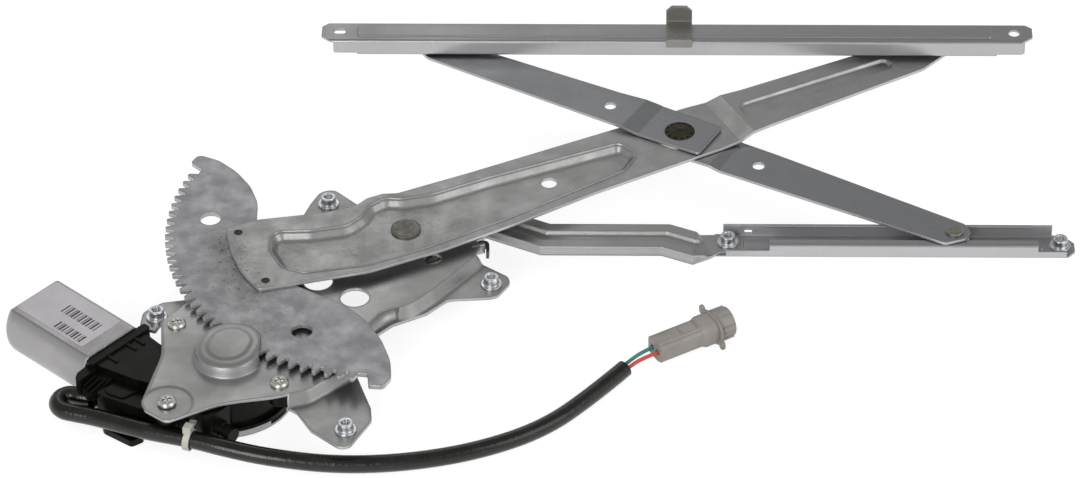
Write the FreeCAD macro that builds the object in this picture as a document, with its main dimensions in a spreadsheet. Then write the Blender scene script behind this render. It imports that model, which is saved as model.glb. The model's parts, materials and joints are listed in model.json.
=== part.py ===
import FreeCAD
import Part
import math
import os
from FreeCAD import Placement, Rotation, Vector

# Scissor type power window regulator with its motor, lying on its back.
# Millimetres. Z is the main pivot axis, X runs along the glass channel, and the
# origin is on the pivot axis in the plane where the low ears bolt to the door.

SIZES = {
    # Scissor linkage
    "rest_angle": 29.0,
    "inner_link": 195.0,
    "outer_link": 181.0,
    "arm_gauge": 2.0,
    "arm_gap": 0.5,
    "arm_recess": 4.5,
    "far_recess": 1.9,
    "lift_rise": 3.0,
    "upper_rise": 1.7,
    "lower_drop": 1.5,
    "running_gap": 0.05,
    # Base plate
    "plate_gauge": 2.0,
    "plateau_height": 9.5,
    "wall_run": 3.5,
    "dome_height": 18.0,
    "dome_base": 20.6,
    "dome_flange": 1.5,
    "dome_boss": 11.6,
    "dome_boss_rise": 0.8,
    "dome_cut": 21.2,
    "screw_seat": 0.7,
    "screw_seat_radius": 16.0,
    "ear_left_x": -149.5,
    "ear_left_y": -75.0,
    "ear_front_x": -27.8,
    "ear_front_y": -180.5,
    "ear_right_x": 54.4,
    "ear_right_y": -41.3,
    "ear_back_x": -50.9,
    "ear_back_y": 39.0,
    "bolt_clear": 3.3,
    "window_hole": 9.0,
    "spring_window": 5.6,
    # Weld nuts, thread M6
    "nut_bore": 2.5,
    "nut_barrel": 4.6,
    "nut_flange": 6.6,
    "nut_flange_gauge": 1.4,
    "nut_height": 6.5,
    # Sector gear and pinion
    "gear_module": 2.5,
    "gear_full_teeth": 118.0,
    "gear_teeth": 34.0,
    "gear_gauge": 3.0,
    "gear_gap": 2.3,
    "gear_shift": -0.1,
    "pinion_teeth": 9.0,
    "pinion_shift": 0.5,
    "backlash": 0.12,
    "drive_angle": 229.5,
    "pinion_length": 4.2,
    "gear_hole": 6.5,
    # Main pivot
    "pin_radius": 7.0,
    "pin_head": 9.4,
    "pin_head_height": 1.9,
    "pin_tail": 5.5,
    "bush_radius": 9.0,
    "bush_flange": 12.0,
    # Assist spring
    "spring_strip": 1.8,
    "spring_width": 5.2,
    "spring_turns": 4.85,
    "spring_inner": 8.2,
    "spring_outer": 30.5,
    # Centre hub and studs
    "hub_radius": 10.0,
    "hub_head": 9.6,
    "stud_radius": 4.0,
    "stud_head": 5.6,
    "stud_head_height": 1.5,
    # Glass channel
    "channel_top": 34.0,
    "channel_depth": 12.0,
    "channel_width": 20.4,
    "channel_gauge": 1.6,
    "channel_lip": 4.8,
    "channel_left": -62.5,
    "channel_right": 399.0,
    "panel_rise": 0.9,
    "channel_slot_x": -50.7,
    "channel_hole_x": 387.2,
    "channel_slot_radius": 2.7,
    "channel_slot_length": 8.0,
    "channel_hole": 3.6,
    "clip_x": 170.0,
    "clip_width": 16.8,
    "clip_height": 13.0,
    "clip_gauge": 1.2,
    # Equalizer rail and its support bar
    "rail_margin_left": 11.5,
    "rail_margin_right": 9.0,
    "rail_nut_left": 200.5,
    "rail_nut_right": 407.0,
    "rail_depth": 10.3,
    "rail_width": 22.0,
    "rail_gauge": 1.6,
    "rail_lip_front": 5.6,
    "rail_lip_back": 2.6,
    "rail_low_flange": 5.6,
    "rail_bead": 0.8,
    "bend_radius": 2.0,
    "bar_width": 26.0,
    "bar_height": 6.0,
    "bar_gauge": 1.6,
    # Rollers
    "roller_gap": 0.35,
    "roller_end_gap": 0.9,
    # Gearbox
    "motor_angle": 138.8,
    "worm_module": 1.0,
    "wheel_teeth": 60.0,
    "worm_radius": 5.6,
    "wheel_width": 8.0,
    "drum_radius": 37.5,
    "lid_radius": 40.5,
    "lid_gauge": 1.6,
    "housing_floor": -20.0,
    "drive_level": -7.0,
    "shaft_radius": 5.0,
    "screw_radius": 2.4,
    "screw_head": 5.6,
    "screw_head_height": 3.0,
    # Motor
    "can_radius": 25.0,
    "can_flat": 16.0,
    "can_wall": 1.6,
    "can_start": 62.0,
    "can_length": 72.0,
    "armature_radius": 13.6,
    "can_end_round": 5.0,
    "commutator_start": 4.0,
    "commutator_length": 10.0,
    "winding_front": 6.0,
    "winding_back": 5.0,
    "winding_gap": 2.0,
    "armature_end_gap": 16.0,
    "motor_shaft": 3.0,
    # Cable and connector
    "cable_radius": 5.5,
    "wire_radius": 1.2,
    "connector_length": 32.0,
    "connector_width": 15.5,
    "connector_height": 12.0,
    "connector_collar": 8.5,
    "connector_barrel": 9.5,
    "connector_turn": 32.0,
}

doc = FreeCAD.newDocument("window_regulator")
sheet = doc.addObject("Spreadsheet::Sheet", "Sizes")
for row, (alias, value) in enumerate(SIZES.items(), start=1):
    sheet.set("A%d" % row, alias)
    sheet.set("B%d" % row, str(value))
    sheet.setAlias("B%d" % row, alias)
doc.recompute()


def size(alias):
    """One driving dimension, read back from the sheet."""
    return float(sheet.get(alias))


# Heights worked out from the driving dimensions
GEAR_FLOOR = size("plateau_height") + size("gear_gap")
GEAR_TOP = GEAR_FLOOR + size("gear_gauge")
ARM_TOP = GEAR_TOP + size("arm_gauge")
ARM_DIP_TOP = ARM_TOP - size("arm_recess")
ARM_DIP_FLOOR = ARM_DIP_TOP - size("arm_gauge")
UPPER_FLOOR = ARM_TOP + size("arm_gap")
LOWER_TOP = GEAR_TOP - size("arm_gap")
LOWER_FLOOR = LOWER_TOP - size("arm_gauge")
PLATE_UNDER = size("plateau_height") - size("plate_gauge")
CHANNEL_FLOOR = size("channel_top") - size("channel_depth")

# Plan positions worked out from the driving dimensions
REST = math.radians(size("rest_angle"))
HUB = Vector(size("inner_link") * math.cos(REST), size("inner_link") * math.sin(REST), 0)
RAIL_STUD = Vector(2 * HUB.x, 0, 0)
REACH = size("inner_link") + size("outer_link")
LIFT_STUD = Vector(REACH * math.cos(REST), REACH * math.sin(REST), 0)
UPPER_STUD = Vector(RAIL_STUD.x - LIFT_STUD.x, LIFT_STUD.y, 0)

MODULE = size("gear_module")
PRESSURE = math.radians(20)


def involute(angle):
    """The involute function."""
    return math.tan(angle) - angle


def working_distance():
    """Centre distance of the shifted sector gear and pinion with no backlash."""
    teeth = size("gear_full_teeth") + size("pinion_teeth")
    shift = size("gear_shift") + size("pinion_shift")
    target = involute(PRESSURE) + 2 * math.tan(PRESSURE) * shift / teeth
    angle = PRESSURE
    for step in range(20):
        angle -= (involute(angle) - target) / math.tan(angle) ** 2
    return MODULE * teeth / 2 * math.cos(PRESSURE) / math.cos(angle)


DRIVE = math.radians(size("drive_angle"))
DRIVE_DISTANCE = working_distance()
PINION = Vector(DRIVE_DISTANCE * math.cos(DRIVE), DRIVE_DISTANCE * math.sin(DRIVE), 0)
WHEEL_RADIUS = size("worm_module") * size("wheel_teeth") / 2
WORM_OFFSET = WHEEL_RADIUS + size("worm_radius")
GEARBOX = Placement(PINION, Rotation(Vector(0, 0, 1), size("motor_angle")))

NODES = {}


def keep(feature, name):
    """Register a finished sub-part under its node name."""
    feature.Label = name
    NODES[name] = feature
    return feature


# Outlines


def rounded_curves(points):
    """Lines and arcs of a closed outline of (x, y) or (x, y, corner radius) points."""
    corners = []
    count = len(points)
    for index, point in enumerate(points):
        here = Vector(point[0], point[1], 0)
        before = Vector(points[index - 1][0], points[index - 1][1], 0) - here
        after = Vector(points[(index + 1) % count][0], points[(index + 1) % count][1], 0) - here
        radius = point[2] if len(point) > 2 else 0
        shorter = min(before.Length, after.Length)
        before.normalize()
        after.normalize()
        half = before.getAngle(after) / 2
        if radius <= 0 or half > math.radians(89.5):
            corners.append((here, None, here))
            continue
        setback = min(radius / math.tan(half), 0.45 * shorter)
        radius = setback * math.tan(half)
        inward = before + after
        inward.normalize()
        centre = here + inward * (radius / math.sin(half))
        corners.append((here + before * setback, centre - inward * radius, here + after * setback))
    curves = []
    for index, (start, middle, end) in enumerate(corners):
        if middle is not None:
            curves.append(Part.Arc(start, middle, end))
        following = corners[(index + 1) % count][0]
        if following.distanceToPoint(end) > 1e-6:
            curves.append(Part.LineSegment(end, following))
    return curves


def grown(points, distance):
    """The outline moved outwards by a distance, with its corner radii kept in step."""
    count = len(points)
    area = sum(points[i - 1][0] * points[i][1] - points[i][0] * points[i - 1][1] for i in range(count))
    side = 1 if area > 0 else -1
    moved = []
    for index, point in enumerate(points):
        before = points[index - 1]
        after = points[(index + 1) % count]
        first = Vector(point[0] - before[0], point[1] - before[1], 0)
        second = Vector(after[0] - point[0], after[1] - point[1], 0)
        first.normalize()
        second.normalize()
        normals = Vector(first.y + second.y, -first.x - second.x, 0) * side
        scale = distance * 2 / (normals.Length ** 2)
        turn = (first.x * second.y - first.y * second.x) * side
        radius = point[2] if len(point) > 2 else 0
        if radius > 0:
            radius = max(radius + (distance if turn > 0 else -distance), 0.3)
        moved.append((point[0] + normals.x * scale, point[1] + normals.y * scale, radius))
    return moved


def outline_wire(points, level):
    """A closed outline as a wire at one height."""
    wire = Part.Wire([curve.toShape() for curve in rounded_curves(points)])
    wire.translate(Vector(0, 0, level))
    return wire


def prism(points, low, high):
    """An upright solid with the given outline."""
    return Part.Face(outline_wire(points, low)).extrude(Vector(0, 0, high - low))


def drafted(sections):
    """A solid through outlines given as (points, level)."""
    return Part.makeLoft([outline_wire(points, level) for points, level in sections], True, True)


def disc(radius, low, high, centre=Vector(0, 0, 0)):
    """An upright cylinder."""
    return Part.makeCylinder(radius, high - low, Vector(centre.x, centre.y, low))


def moved(shape, offset):
    """A copy of a shape moved by a vector."""
    copy = shape.copy()
    copy.translate(offset)
    return copy


def feature(name, shape, placement=None):
    """A sub-part whose shape is worked out here."""
    item = doc.addObject("Part::Feature", name)
    item.Shape = shape
    if placement is not None:
        item.Placement = placement
    return keep(item, name)


# Bodies made from sketches


def new_body(name):
    """An empty body for one sub-part."""
    return doc.addObject("PartDesign::Body", name)


def add_sketch(body, name, role, curves, level=None):
    """A sketch on one of the body's own origin planes, raised by a sheet expression."""
    sketch = body.newObject("Sketcher::SketchObject", name)
    plane = [item for item in body.Origin.OriginFeatures if item.Role == role][0]
    sketch.AttachmentSupport = [(plane, "")]
    sketch.MapMode = "FlatFace"
    sketch.addGeometry(curves, False)
    if level is not None:
        sketch.setExpression("AttachmentOffset.Base.z", level)
    return sketch


def add_pad(body, name, sketch, length):
    """A pad whose length is a sheet expression."""
    pad = body.newObject("PartDesign::Pad", name)
    pad.Profile = sketch
    pad.setExpression("Length", length)
    return pad


def add_pocket(body, name, sketch):
    """A pocket through the whole body in both directions."""
    pocket = body.newObject("PartDesign::Pocket", name)
    pocket.Profile = sketch
    pocket.Type = 1
    pocket.Midplane = True
    return pocket


def add_cut_down(body, name, sketch, depth, upwards=False):
    """A pocket of a given depth below its sketch, or above it."""
    pocket = body.newObject("PartDesign::Pocket", name)
    pocket.Profile = sketch
    pocket.setExpression("Length", depth)
    pocket.Reversed = upwards
    return pocket


def circle(radius, x=0.0, y=0.0):
    """One circle as sketch geometry."""
    return [Part.Circle(Vector(x, y, 0), Vector(0, 0, 1), radius)]


def polygon(points):
    """A closed polygon as sketch geometry."""
    return rounded_curves(points)


def turned(name, profile, centre, level="0"):
    """A sub-part turned about an upright axis from a profile of (radius, height) points."""
    body = new_body(name)
    sketch = add_sketch(body, name + "_profile", "XZ_Plane", polygon(profile))
    turn = body.newObject("PartDesign::Revolution", name + "_turn")
    turn.Profile = sketch
    turn.ReferenceAxis = (sketch, ["V_Axis"])
    turn.Angle = 360
    body.Placement = Placement(Vector(centre.x, centre.y, 0), Rotation())
    body.setExpression("Placement.Base.z", level)
    return keep(body, name)


def ring_profile(inner, outer, low, high):
    """A plain washer profile."""
    return [(inner, low), (outer, low), (outer, high), (inner, high)]


# Base plate


def ear_centres():
    """Plan positions of the four door bolts."""
    names = ("ear_left", "ear_front", "ear_right", "ear_back")
    return [Vector(size(name + "_x"), size(name + "_y"), 0) for name in names]


LEFT_EAR, FRONT_EAR, RIGHT_EAR, BACK_EAR = ear_centres()


def near(centre, points):
    """Outline points given from a centre."""
    return [(centre.x + point[0], centre.y + point[1]) + tuple(point[2:]) for point in points]


PLATEAU = [
    (-145.5, -88, 6), (-142.5, -119, 40), (-151, -163, 6), (-148, -171, 5), (-134, -182, 5),
    (-101, -164, 70), (-73, -159, 40), (-52, -152, 10), (-26, -128, 12), (-22, -95, 20),
    (-11, -76, 15), (5, -71, 15), (18, -57, 15), (43.5, -23, 6), (47, -12, 4), (40, 2, 8),
    (28, 24, 12), (0, 34, 25), (-28, 30, 10), (-50, 22, 10), (-64, 6, 15), (-90, -25, 30),
    (-116, -60, 10), (-130, -68, 6),
]
LEFT_FINGER = near(LEFT_EAR, [
    (-10, -10, 6), (-9, 5, 8), (2, 14.5, 8), (20, 18, 6), (44, 3, 5), (26, -20, 4), (2, -14, 3)])
FRONT_FINGER = near(FRONT_EAR, [
    (-38, 22, 4), (-30, 16, 8), (-21, 0, 8), (-3, -15.5, 7), (3, -14.5, 6), (15, 9.5, 7),
    (14, 20, 6), (5, 47, 10), (1, 62, 4), (-12, 52, 4)])
RIGHT_FINGER = near(RIGHT_EAR, [
    (-80, -62, 6), (-67, -48, 12), (-59, -39.5, 12), (-39, -28.5, 12), (-26, -14.5, 10),
    (-1, -12.7, 6), (4, -11, 5), (11.6, 2, 5), (10, 8, 5), (-9, 22, 4), (-16, 16, 3)])
BACK_FINGER = near(BACK_EAR, [
    (-16, -14, 4), (-11.6, 0, 7), (-6, 13, 8), (2.5, 15.5, 8), (17, 1, 7), (30, -10, 5),
    (20, -22, 4), (-4, -28, 4)])
LEFT_SLOPE = (0.6, 2.0, 2.4, 1.0)
PLATEAU_TOP = [(x + inset, y, corner) for (x, y, corner), inset
               in zip(PLATEAU, LEFT_SLOPE + (0.0,) * (len(PLATEAU) - len(LEFT_SLOPE)))]
BAR_FINGER = [(22, 14, 4), (31, 37, 6), (39, 41, 5), (58, 27, 6), (53, 10, 6), (38, -2, 4)]


DOME_FRONT = Vector(PINION.x + 2.1, PINION.y - 0.4, 0)
DOME_BACK = DOME_FRONT + Vector(1.5, 4.5, 0)


def dome_wire(radius, level):
    """Egg shaped outline round the pinion and its mesh with the gear, at one height."""
    along = DOME_BACK - DOME_FRONT
    along.normalize()
    side = Vector(-along.y, along.x, 0) * radius
    left, right = DOME_FRONT + side, DOME_FRONT - side
    far_left, far_right = DOME_BACK + side, DOME_BACK - side
    curves = [Part.Arc(left, DOME_FRONT - along * radius, right), Part.LineSegment(right, far_right),
              Part.Arc(far_right, DOME_BACK + along * radius, far_left), Part.LineSegment(far_left, left)]
    wire = Part.Wire([curve.toShape() for curve in curves])
    wire.translate(Vector(0, 0, level))
    return wire


def dome_outside():
    """Outer form of the dome: foot, wall, round shoulder and the raised middle."""
    base = size("dome_base")
    boss = size("dome_boss")
    top = size("plateau_height")
    roof = size("dome_height")
    foot = base + size("dome_flange")
    sections = [(foot, PLATE_UNDER), (foot, top), (base + 0.4, top + 0.6), (base, top + 1.8),
                (base - 0.4, roof - 3.0), (base - 1.2, roof - 1.4), (base - 2.8, roof - 0.35),
                (base - 4.6, roof), (boss + 1.8, roof - 0.1), (boss + 0.5, roof + 0.5),
                (boss, roof + size("dome_boss_rise"))]
    return Part.makeLoft([dome_wire(radius, level) for radius, level in sections], True, True)


def dome_inside():
    """Hollow of the dome, one gauge inside its wall and its roof."""
    gauge = size("plate_gauge")
    base = size("dome_base") - gauge
    roof = size("dome_height") - gauge
    sections = [(base, PLATE_UNDER - 1), (base, roof - 2.4), (base - 1.0, roof - 0.8), (base - 2.8, roof)]
    return Part.makeLoft([dome_wire(radius, level) for radius, level in sections], True, True)


def make_base_plate():
    """Pressed plate: raised plateau, low ears, dome with its gear window, spring tab, holes."""
    gauge = size("plate_gauge")
    top = size("plateau_height")
    run = size("wall_run")
    form = drafted([
        (grown(PLATEAU, run + 1.0), -3.0), (grown(PLATEAU, run + 1.0), gauge),
        (grown(PLATEAU, run), gauge + 0.8), (grown(PLATEAU, 0.8), top - 1.4), (PLATEAU_TOP, top)])
    fingers = [LEFT_FINGER, FRONT_FINGER, RIGHT_FINGER, BACK_FINGER, BAR_FINGER]
    sheet_metal = form
    for finger in fingers:
        sheet_metal = sheet_metal.fuse(prism(finger, 0, gauge))
    sheet_metal = sheet_metal.cut(moved(form, Vector(0, 0, -gauge)))
    blank = prism(PLATEAU, -1, top + 1)
    for finger in fingers:
        blank = blank.fuse(prism(finger, -1, top + 1))
    sheet_metal = sheet_metal.common(blank)
    hollow = dome_inside()
    sheet_metal = sheet_metal.fuse(dome_outside()).cut(hollow)
    # The gear passes under the roof; the roof is trimmed along one straight edge
    tip = MODULE * (size("gear_full_teeth") / 2 + 1 + size("gear_shift"))
    sheet_metal = sheet_metal.cut(disc(tip + 1.2, top, size("dome_height") - gauge))
    corner = Vector(PINION.x + size("dome_cut"), PINION.y - 30, top)
    sheet_metal = sheet_metal.cut(Part.makeBox(20, 60, 20, corner))
    for ear in ear_centres():
        sheet_metal = sheet_metal.cut(disc(size("bolt_clear"), -1, gauge + 1, ear))
    for x, y, radius in ((-28.5, -63.9, size("window_hole")), (-52, -48, size("window_hole")),
                         (17.8, -25.5, size("spring_window"))):
        sheet_metal = sheet_metal.cut(disc(radius, PLATE_UNDER - 1, top + 1, Vector(x, y, 0)))
    for place in screw_places():
        sheet_metal = sheet_metal.cut(disc(size("screw_radius"), PLATE_UNDER - 1, top + 1, place))
    seat = size("screw_seat_radius")
    sunk = size("screw_seat")
    sheet_metal = sheet_metal.cut(
        Part.makeCone(seat - 1.2, seat, sunk, Vector(0, 0, top - sunk) + screw_places()[SUNK_SCREW]))
    sheet_metal = sheet_metal.cut(disc(size("bush_radius"), PLATE_UNDER - 1, top + 1))
    tab = prism([(41.6, -13.6), (49.6, -10.6), (48.9, -8.7), (40.9, -11.7)], 2.6, 9.8)
    sheet_metal = sheet_metal.fuse(tab)
    return feature("base_plate", sheet_metal.removeSplitter())


SCREW_BOSSES = (Vector(44, -2, 0), Vector(-5, 53.5, 0), Vector(-42.5, -4, 0))
SUNK_SCREW = 1


def screw_places():
    """Plan positions of the three gearbox screws; the second sits in a pressed seat."""
    return [GEARBOX.multVec(place) for place in SCREW_BOSSES]


def nut_shape():
    """One weld nut: flange, barrel and tapped bore."""
    bore = size("nut_bore")
    barrel = size("nut_barrel")
    flange = size("nut_flange")
    gauge = size("nut_flange_gauge")
    height = size("nut_height")
    profile = [(bore + 0.5, 0), (flange, 0), (flange, gauge - 0.3), (flange - 0.3, gauge),
               (barrel + 0.4, gauge), (barrel, gauge + 0.4), (barrel, height - 0.5),
               (barrel - 0.5, height), (bore + 0.5, height), (bore, height - 0.5), (bore, 0.5)]
    face = Part.Face(Part.makePolygon([Vector(r, 0, z) for r, z in profile + profile[:1]]))
    return face.revolve(Vector(0, 0, 0), Vector(0, 0, 1), 360)


def make_weld_nuts():
    """Nuts on the ears and on the rail."""
    gauge = size("plate_gauge")
    feature("base_weld_nuts", Part.Compound(
        [moved(nut_shape(), ear + Vector(0, 0, gauge)) for ear in ear_centres()]))
    bar_top = size("rail_gauge") + size("bar_gauge")
    feature("rail_weld_nuts", Part.Compound([
        moved(nut_shape(), Vector(size("rail_nut_left"), 0, bar_top)),
        moved(nut_shape(), Vector(size("rail_nut_right"), 0, size("rail_gauge")))]))


# Sector gear and pinion


def half_tooth(teeth, shift, radius):
    """Half the angle that a tooth covers at a radius."""
    pitch = MODULE * teeth / 2
    base = pitch * math.cos(PRESSURE)
    at_pitch = (math.pi / 2 + 2 * shift * math.tan(PRESSURE)) / teeth - size("backlash") / (2 * pitch)
    here = math.acos(min(base / radius, 1.0))
    return at_pitch + involute(PRESSURE) - involute(here)


def tooth_points(teeth, shift, centre_angle, steps):
    """One tooth from root to root, anticlockwise, about the origin."""
    tip = MODULE * (teeth / 2 + 1 + shift)
    root = MODULE * (teeth / 2 - 1.25 + shift)
    base = MODULE * teeth / 2 * math.cos(PRESSURE)
    start = max(root, base)
    radii = [root] if root < base else []
    radii += [start + (tip - start) * step / steps for step in range(steps + 1)]
    right = [(radius, centre_angle - half_tooth(teeth, shift, radius)) for radius in radii]
    left = [(radius, centre_angle + half_tooth(teeth, shift, radius)) for radius in reversed(radii)]
    return [(r * math.cos(a), r * math.sin(a)) for r, a in right + left]


def make_sector_gear():
    """Toothed crescent welded under the lift arm."""
    pitch = 2 * math.pi / size("gear_full_teeth")
    teeth = int(size("gear_teeth"))
    first = DRIVE - 23 * pitch
    outline = []
    for index in range(teeth):
        outline += tooth_points(size("gear_full_teeth"), size("gear_shift"), first + index * pitch, 2)
    root = MODULE * (size("gear_full_teeth") / 2 - 1.25 + size("gear_shift"))

    def at(radius, degrees, corner=0.0):
        angle = math.radians(degrees)
        return (radius * math.cos(angle), radius * math.sin(angle), corner)

    after = math.degrees(first + (teeth - 1) * pitch)
    before = math.degrees(first)
    outline += [at(root, after + 3.4, 0.6), at(root + 10.3, after + 4.3, 1.5)]
    outline += [at(154.8, 267.6, 4), (-2.0, -146.0, 6), (-3.2, -131.0, 40), (-9.5, -111.5, 40),
                (-19.5, -93.0, 40), (-32.0, -79.5, 40), (-47.5, -69.5, 40), (-65.5, -58.5, 20),
                (-81, -42, 20), (-89, -18, 20), (-93.5, 6.0, 10), (-94.0, 24.0, 30), (-100, 41, 30),
                (-109.8, 56.0, 30), (-121.5, 67.5, 20), at(154.0, 151.4, 4)]
    outline += [at(root + 10.0, before - 4.6, 1.5), at(root, before - 3.2, 0.6)]
    gear = prism(outline, GEAR_FLOOR, GEAR_TOP)
    for x, y in ((-122.5, 7.5), (-58.3, -103.0)):
        gear = gear.cut(disc(size("gear_hole"), GEAR_FLOOR - 1, GEAR_TOP + 1, Vector(x, y, 0)))
    return feature("sector_gear", gear)


def make_pinion():
    """Output shaft: pinion, journal and drive plate in one."""
    teeth = int(size("pinion_teeth"))
    pitch = 360.0 / teeth
    first = math.degrees(DRIVE) + 180 + pitch / 2
    outline = []
    for index in range(teeth):
        angle = math.radians(first + index * pitch)
        outline += tooth_points(size("pinion_teeth"), size("pinion_shift"), angle, 4)
    low = GEAR_FLOOR - 1.2
    pinion = prism(outline, low, low + size("pinion_length"))
    level = size("drive_level")
    half = size("wheel_width") / 2
    body = disc(size("shaft_radius"), size("housing_floor") + 3.5, low)
    plate = disc(11.0, level - half, level + half)
    shape = moved(pinion.fuse(body).fuse(plate), PINION)
    return feature("pinion_shaft", shape.removeSplitter())


# Arms


INNER = size("inner_link")
LIFT_OUTLINE = [
    (-100.9, 49.3, 3), (-79, 48.4, 5), (-39.5, 35.0, 25), (-19, 32.0, 8), (-9.5, 35.4, 5),
    (1, 35.0, 5), (9.5, 31.0, 8), (60, 28.2, 60), (INNER + 17, 23.0, 40), (INNER + 55, 19.5, 40),
    (REACH - 10, 16.2, 5), (REACH + 15, 8.5, 3), (REACH + 15, -8.5, 3), (REACH - 10, -16.8, 5),
    (INNER + 55, -22.0, 40), (INNER + 17, -25.5, 40), (INNER - 75, -27.5, 60), (60, -31.8, 60),
    (10, -33.6, 30), (-40, -31.2, 30), (-107.7, -14.8, 3), (-110.3, 5, 60), (-107.2, 27, 60),
]
LIFT_DIP = [
    (-77, 33, 8), (-55, 22, 14), (-33, 15.5, 14), (-20, 20, 8), (-12, 27.5, 8), (0, 30, 9),
    (9, 24, 10), (28, 19.0, 20), (68, 17.5, 30), (INNER - 38, 10, 7), (INNER - 34, -6, 8),
    (INNER - 49, -16, 10), (60, -24.5, 40), (0, -27, 30), (-40, -24.5, 30), (-76, -13, 10),
    (-86, -2, 12), (-85, 18, 12),
]
FAR_DIP = [(INNER + 45, 7.5, 7), (REACH - 26, 5.5, 5), (REACH - 24, -6.5, 5), (INNER + 45, -8.5, 7)]
LIFT_HOLE = 100.8
SPOT_WELDS = ((-95.0, 42.5), (-100.5, -9.0))


def stepped_plate(outline, stations, gauge):
    """A flat bar whose height changes along X: the side view through an outline."""
    low = [Vector(x, 0, z) for x, z in stations]
    high = [Vector(x, 0, z + gauge) for x, z in reversed(stations)]
    points = low + high
    side = Part.Face(Part.makePolygon(points + points[:1]))
    side.translate(Vector(0, -100, 0))
    ribbon = side.extrude(Vector(0, 200, 0))
    levels = [z for x, z in stations]
    return ribbon.common(prism(outline, min(levels) - 1, max(levels) + gauge + 1))


def pressed_down(blank, outline, top, depth, slope, gauge):
    """Press a pan into a plate, keeping its gauge."""
    steps = ((0.25, 0.6), (0.0, 0.0), (-0.22, -0.14), (-0.75, -0.82), (-1.0, -1.0))
    inner = drafted([(grown(outline, slope * out), top + depth * down) for out, down in steps])
    return blank.fuse(moved(inner, Vector(0, 0, -gauge))).cut(inner)


def lift_placement():
    """The lift arm's own frame: X from the main pivot to the hub."""
    return Placement(Vector(0, 0, 0), Rotation(Vector(0, 0, 1), size("rest_angle")))


def cross_placement():
    """The cross arm's own frame: X from the hub to the rail stud."""
    return Placement(HUB, Rotation(Vector(0, 0, 1), -size("rest_angle")))


def make_lift_arm():
    """Long arm from the sector gear through the hub to the glass channel."""
    gauge = size("arm_gauge")
    rise = size("lift_rise")
    hub = size("inner_link")
    stations = [(-130, GEAR_TOP), (hub + 31, GEAR_TOP), (hub + 41, GEAR_TOP + rise),
                (REACH + 40, GEAR_TOP + rise)]
    arm = stepped_plate(LIFT_OUTLINE, stations, gauge)
    arm = pressed_down(arm, LIFT_DIP, ARM_TOP, size("arm_recess"), 4.6, gauge)
    arm = pressed_down(arm, FAR_DIP, ARM_TOP + rise, size("far_recess"), 2.0, gauge)
    arm = arm.cut(disc(size("pin_radius"), 0, 40))
    arm = arm.cut(disc(size("hub_radius") + size("running_gap"), 0, 40, Vector(hub, 0, 0)))
    arm = arm.cut(disc(5.1, 0, 40, Vector(LIFT_HOLE, 0, 0)))
    arm = arm.cut(disc(size("stud_radius"), 0, 40, Vector(REACH, 0, 0)))
    for x, y in SPOT_WELDS:
        arm = arm.cut(Part.makeCone(1.6, 2.6, 0.9, Vector(x, y, ARM_TOP - 0.8)))
    return feature("lift_arm", arm.removeSplitter(), lift_placement())


def make_cross_arms():
    """The two halves of the cross arm, above and below the lift arm."""
    gauge = size("arm_gauge")
    outer = size("outer_link")
    inner = size("inner_link")
    upper_outline = [(21.5, 17.0, 2), (-25, 18.0, 20), (-52, 15.5, 30), (-outer, 11.5, 5),
                     (-outer - 13, 5.5, 3), (-outer - 13, -5.5, 3), (-outer, -12.0, 5),
                     (-52, -15.0, 30), (-25, -15.5, 20), (21.5, -14.5, 2)]
    stations = [(30, UPPER_FLOOR), (-22, UPPER_FLOOR), (-34, UPPER_FLOOR + size("upper_rise")),
                (-outer - 30, UPPER_FLOOR + size("upper_rise"))]
    upper = stepped_plate(upper_outline, stations, gauge)
    upper = upper.cut(disc(size("hub_head"), 0, 40))
    upper = upper.cut(disc(3.8, 0, 40, Vector(-51, 0, 0)))
    upper = upper.cut(disc(size("stud_radius"), 0, 40, Vector(-outer, 0, 0)))
    feature("cross_arm_upper", upper, cross_placement())
    lower_outline = [(-18, 13.0, 10), (0, 17.0, 20), (60, 16.0, 30), (inner + 2, 10.0, 4),
                     (inner + 9, 5.0, 3), (inner + 9, -3.0, 3), (inner, -13.0, 4),
                     (60, -16.0, 30), (0, -17.0, 20), (-18, -13.0, 10)]
    stations = [(-30, LOWER_FLOOR), (30, LOWER_FLOOR), (37, LOWER_FLOOR - size("lower_drop")),
                (inner + 30, LOWER_FLOOR - size("lower_drop"))]
    lower = stepped_plate(lower_outline, stations, gauge)
    lower = lower.cut(disc(size("hub_head"), 0, 40))
    lower = lower.cut(disc(3.9, 0, 40, Vector(57, 0, 0)))
    lower = lower.cut(disc(size("stud_radius"), 0, 40, Vector(inner, 0, 0)))
    feature("cross_arm_lower", lower, cross_placement())


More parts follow.
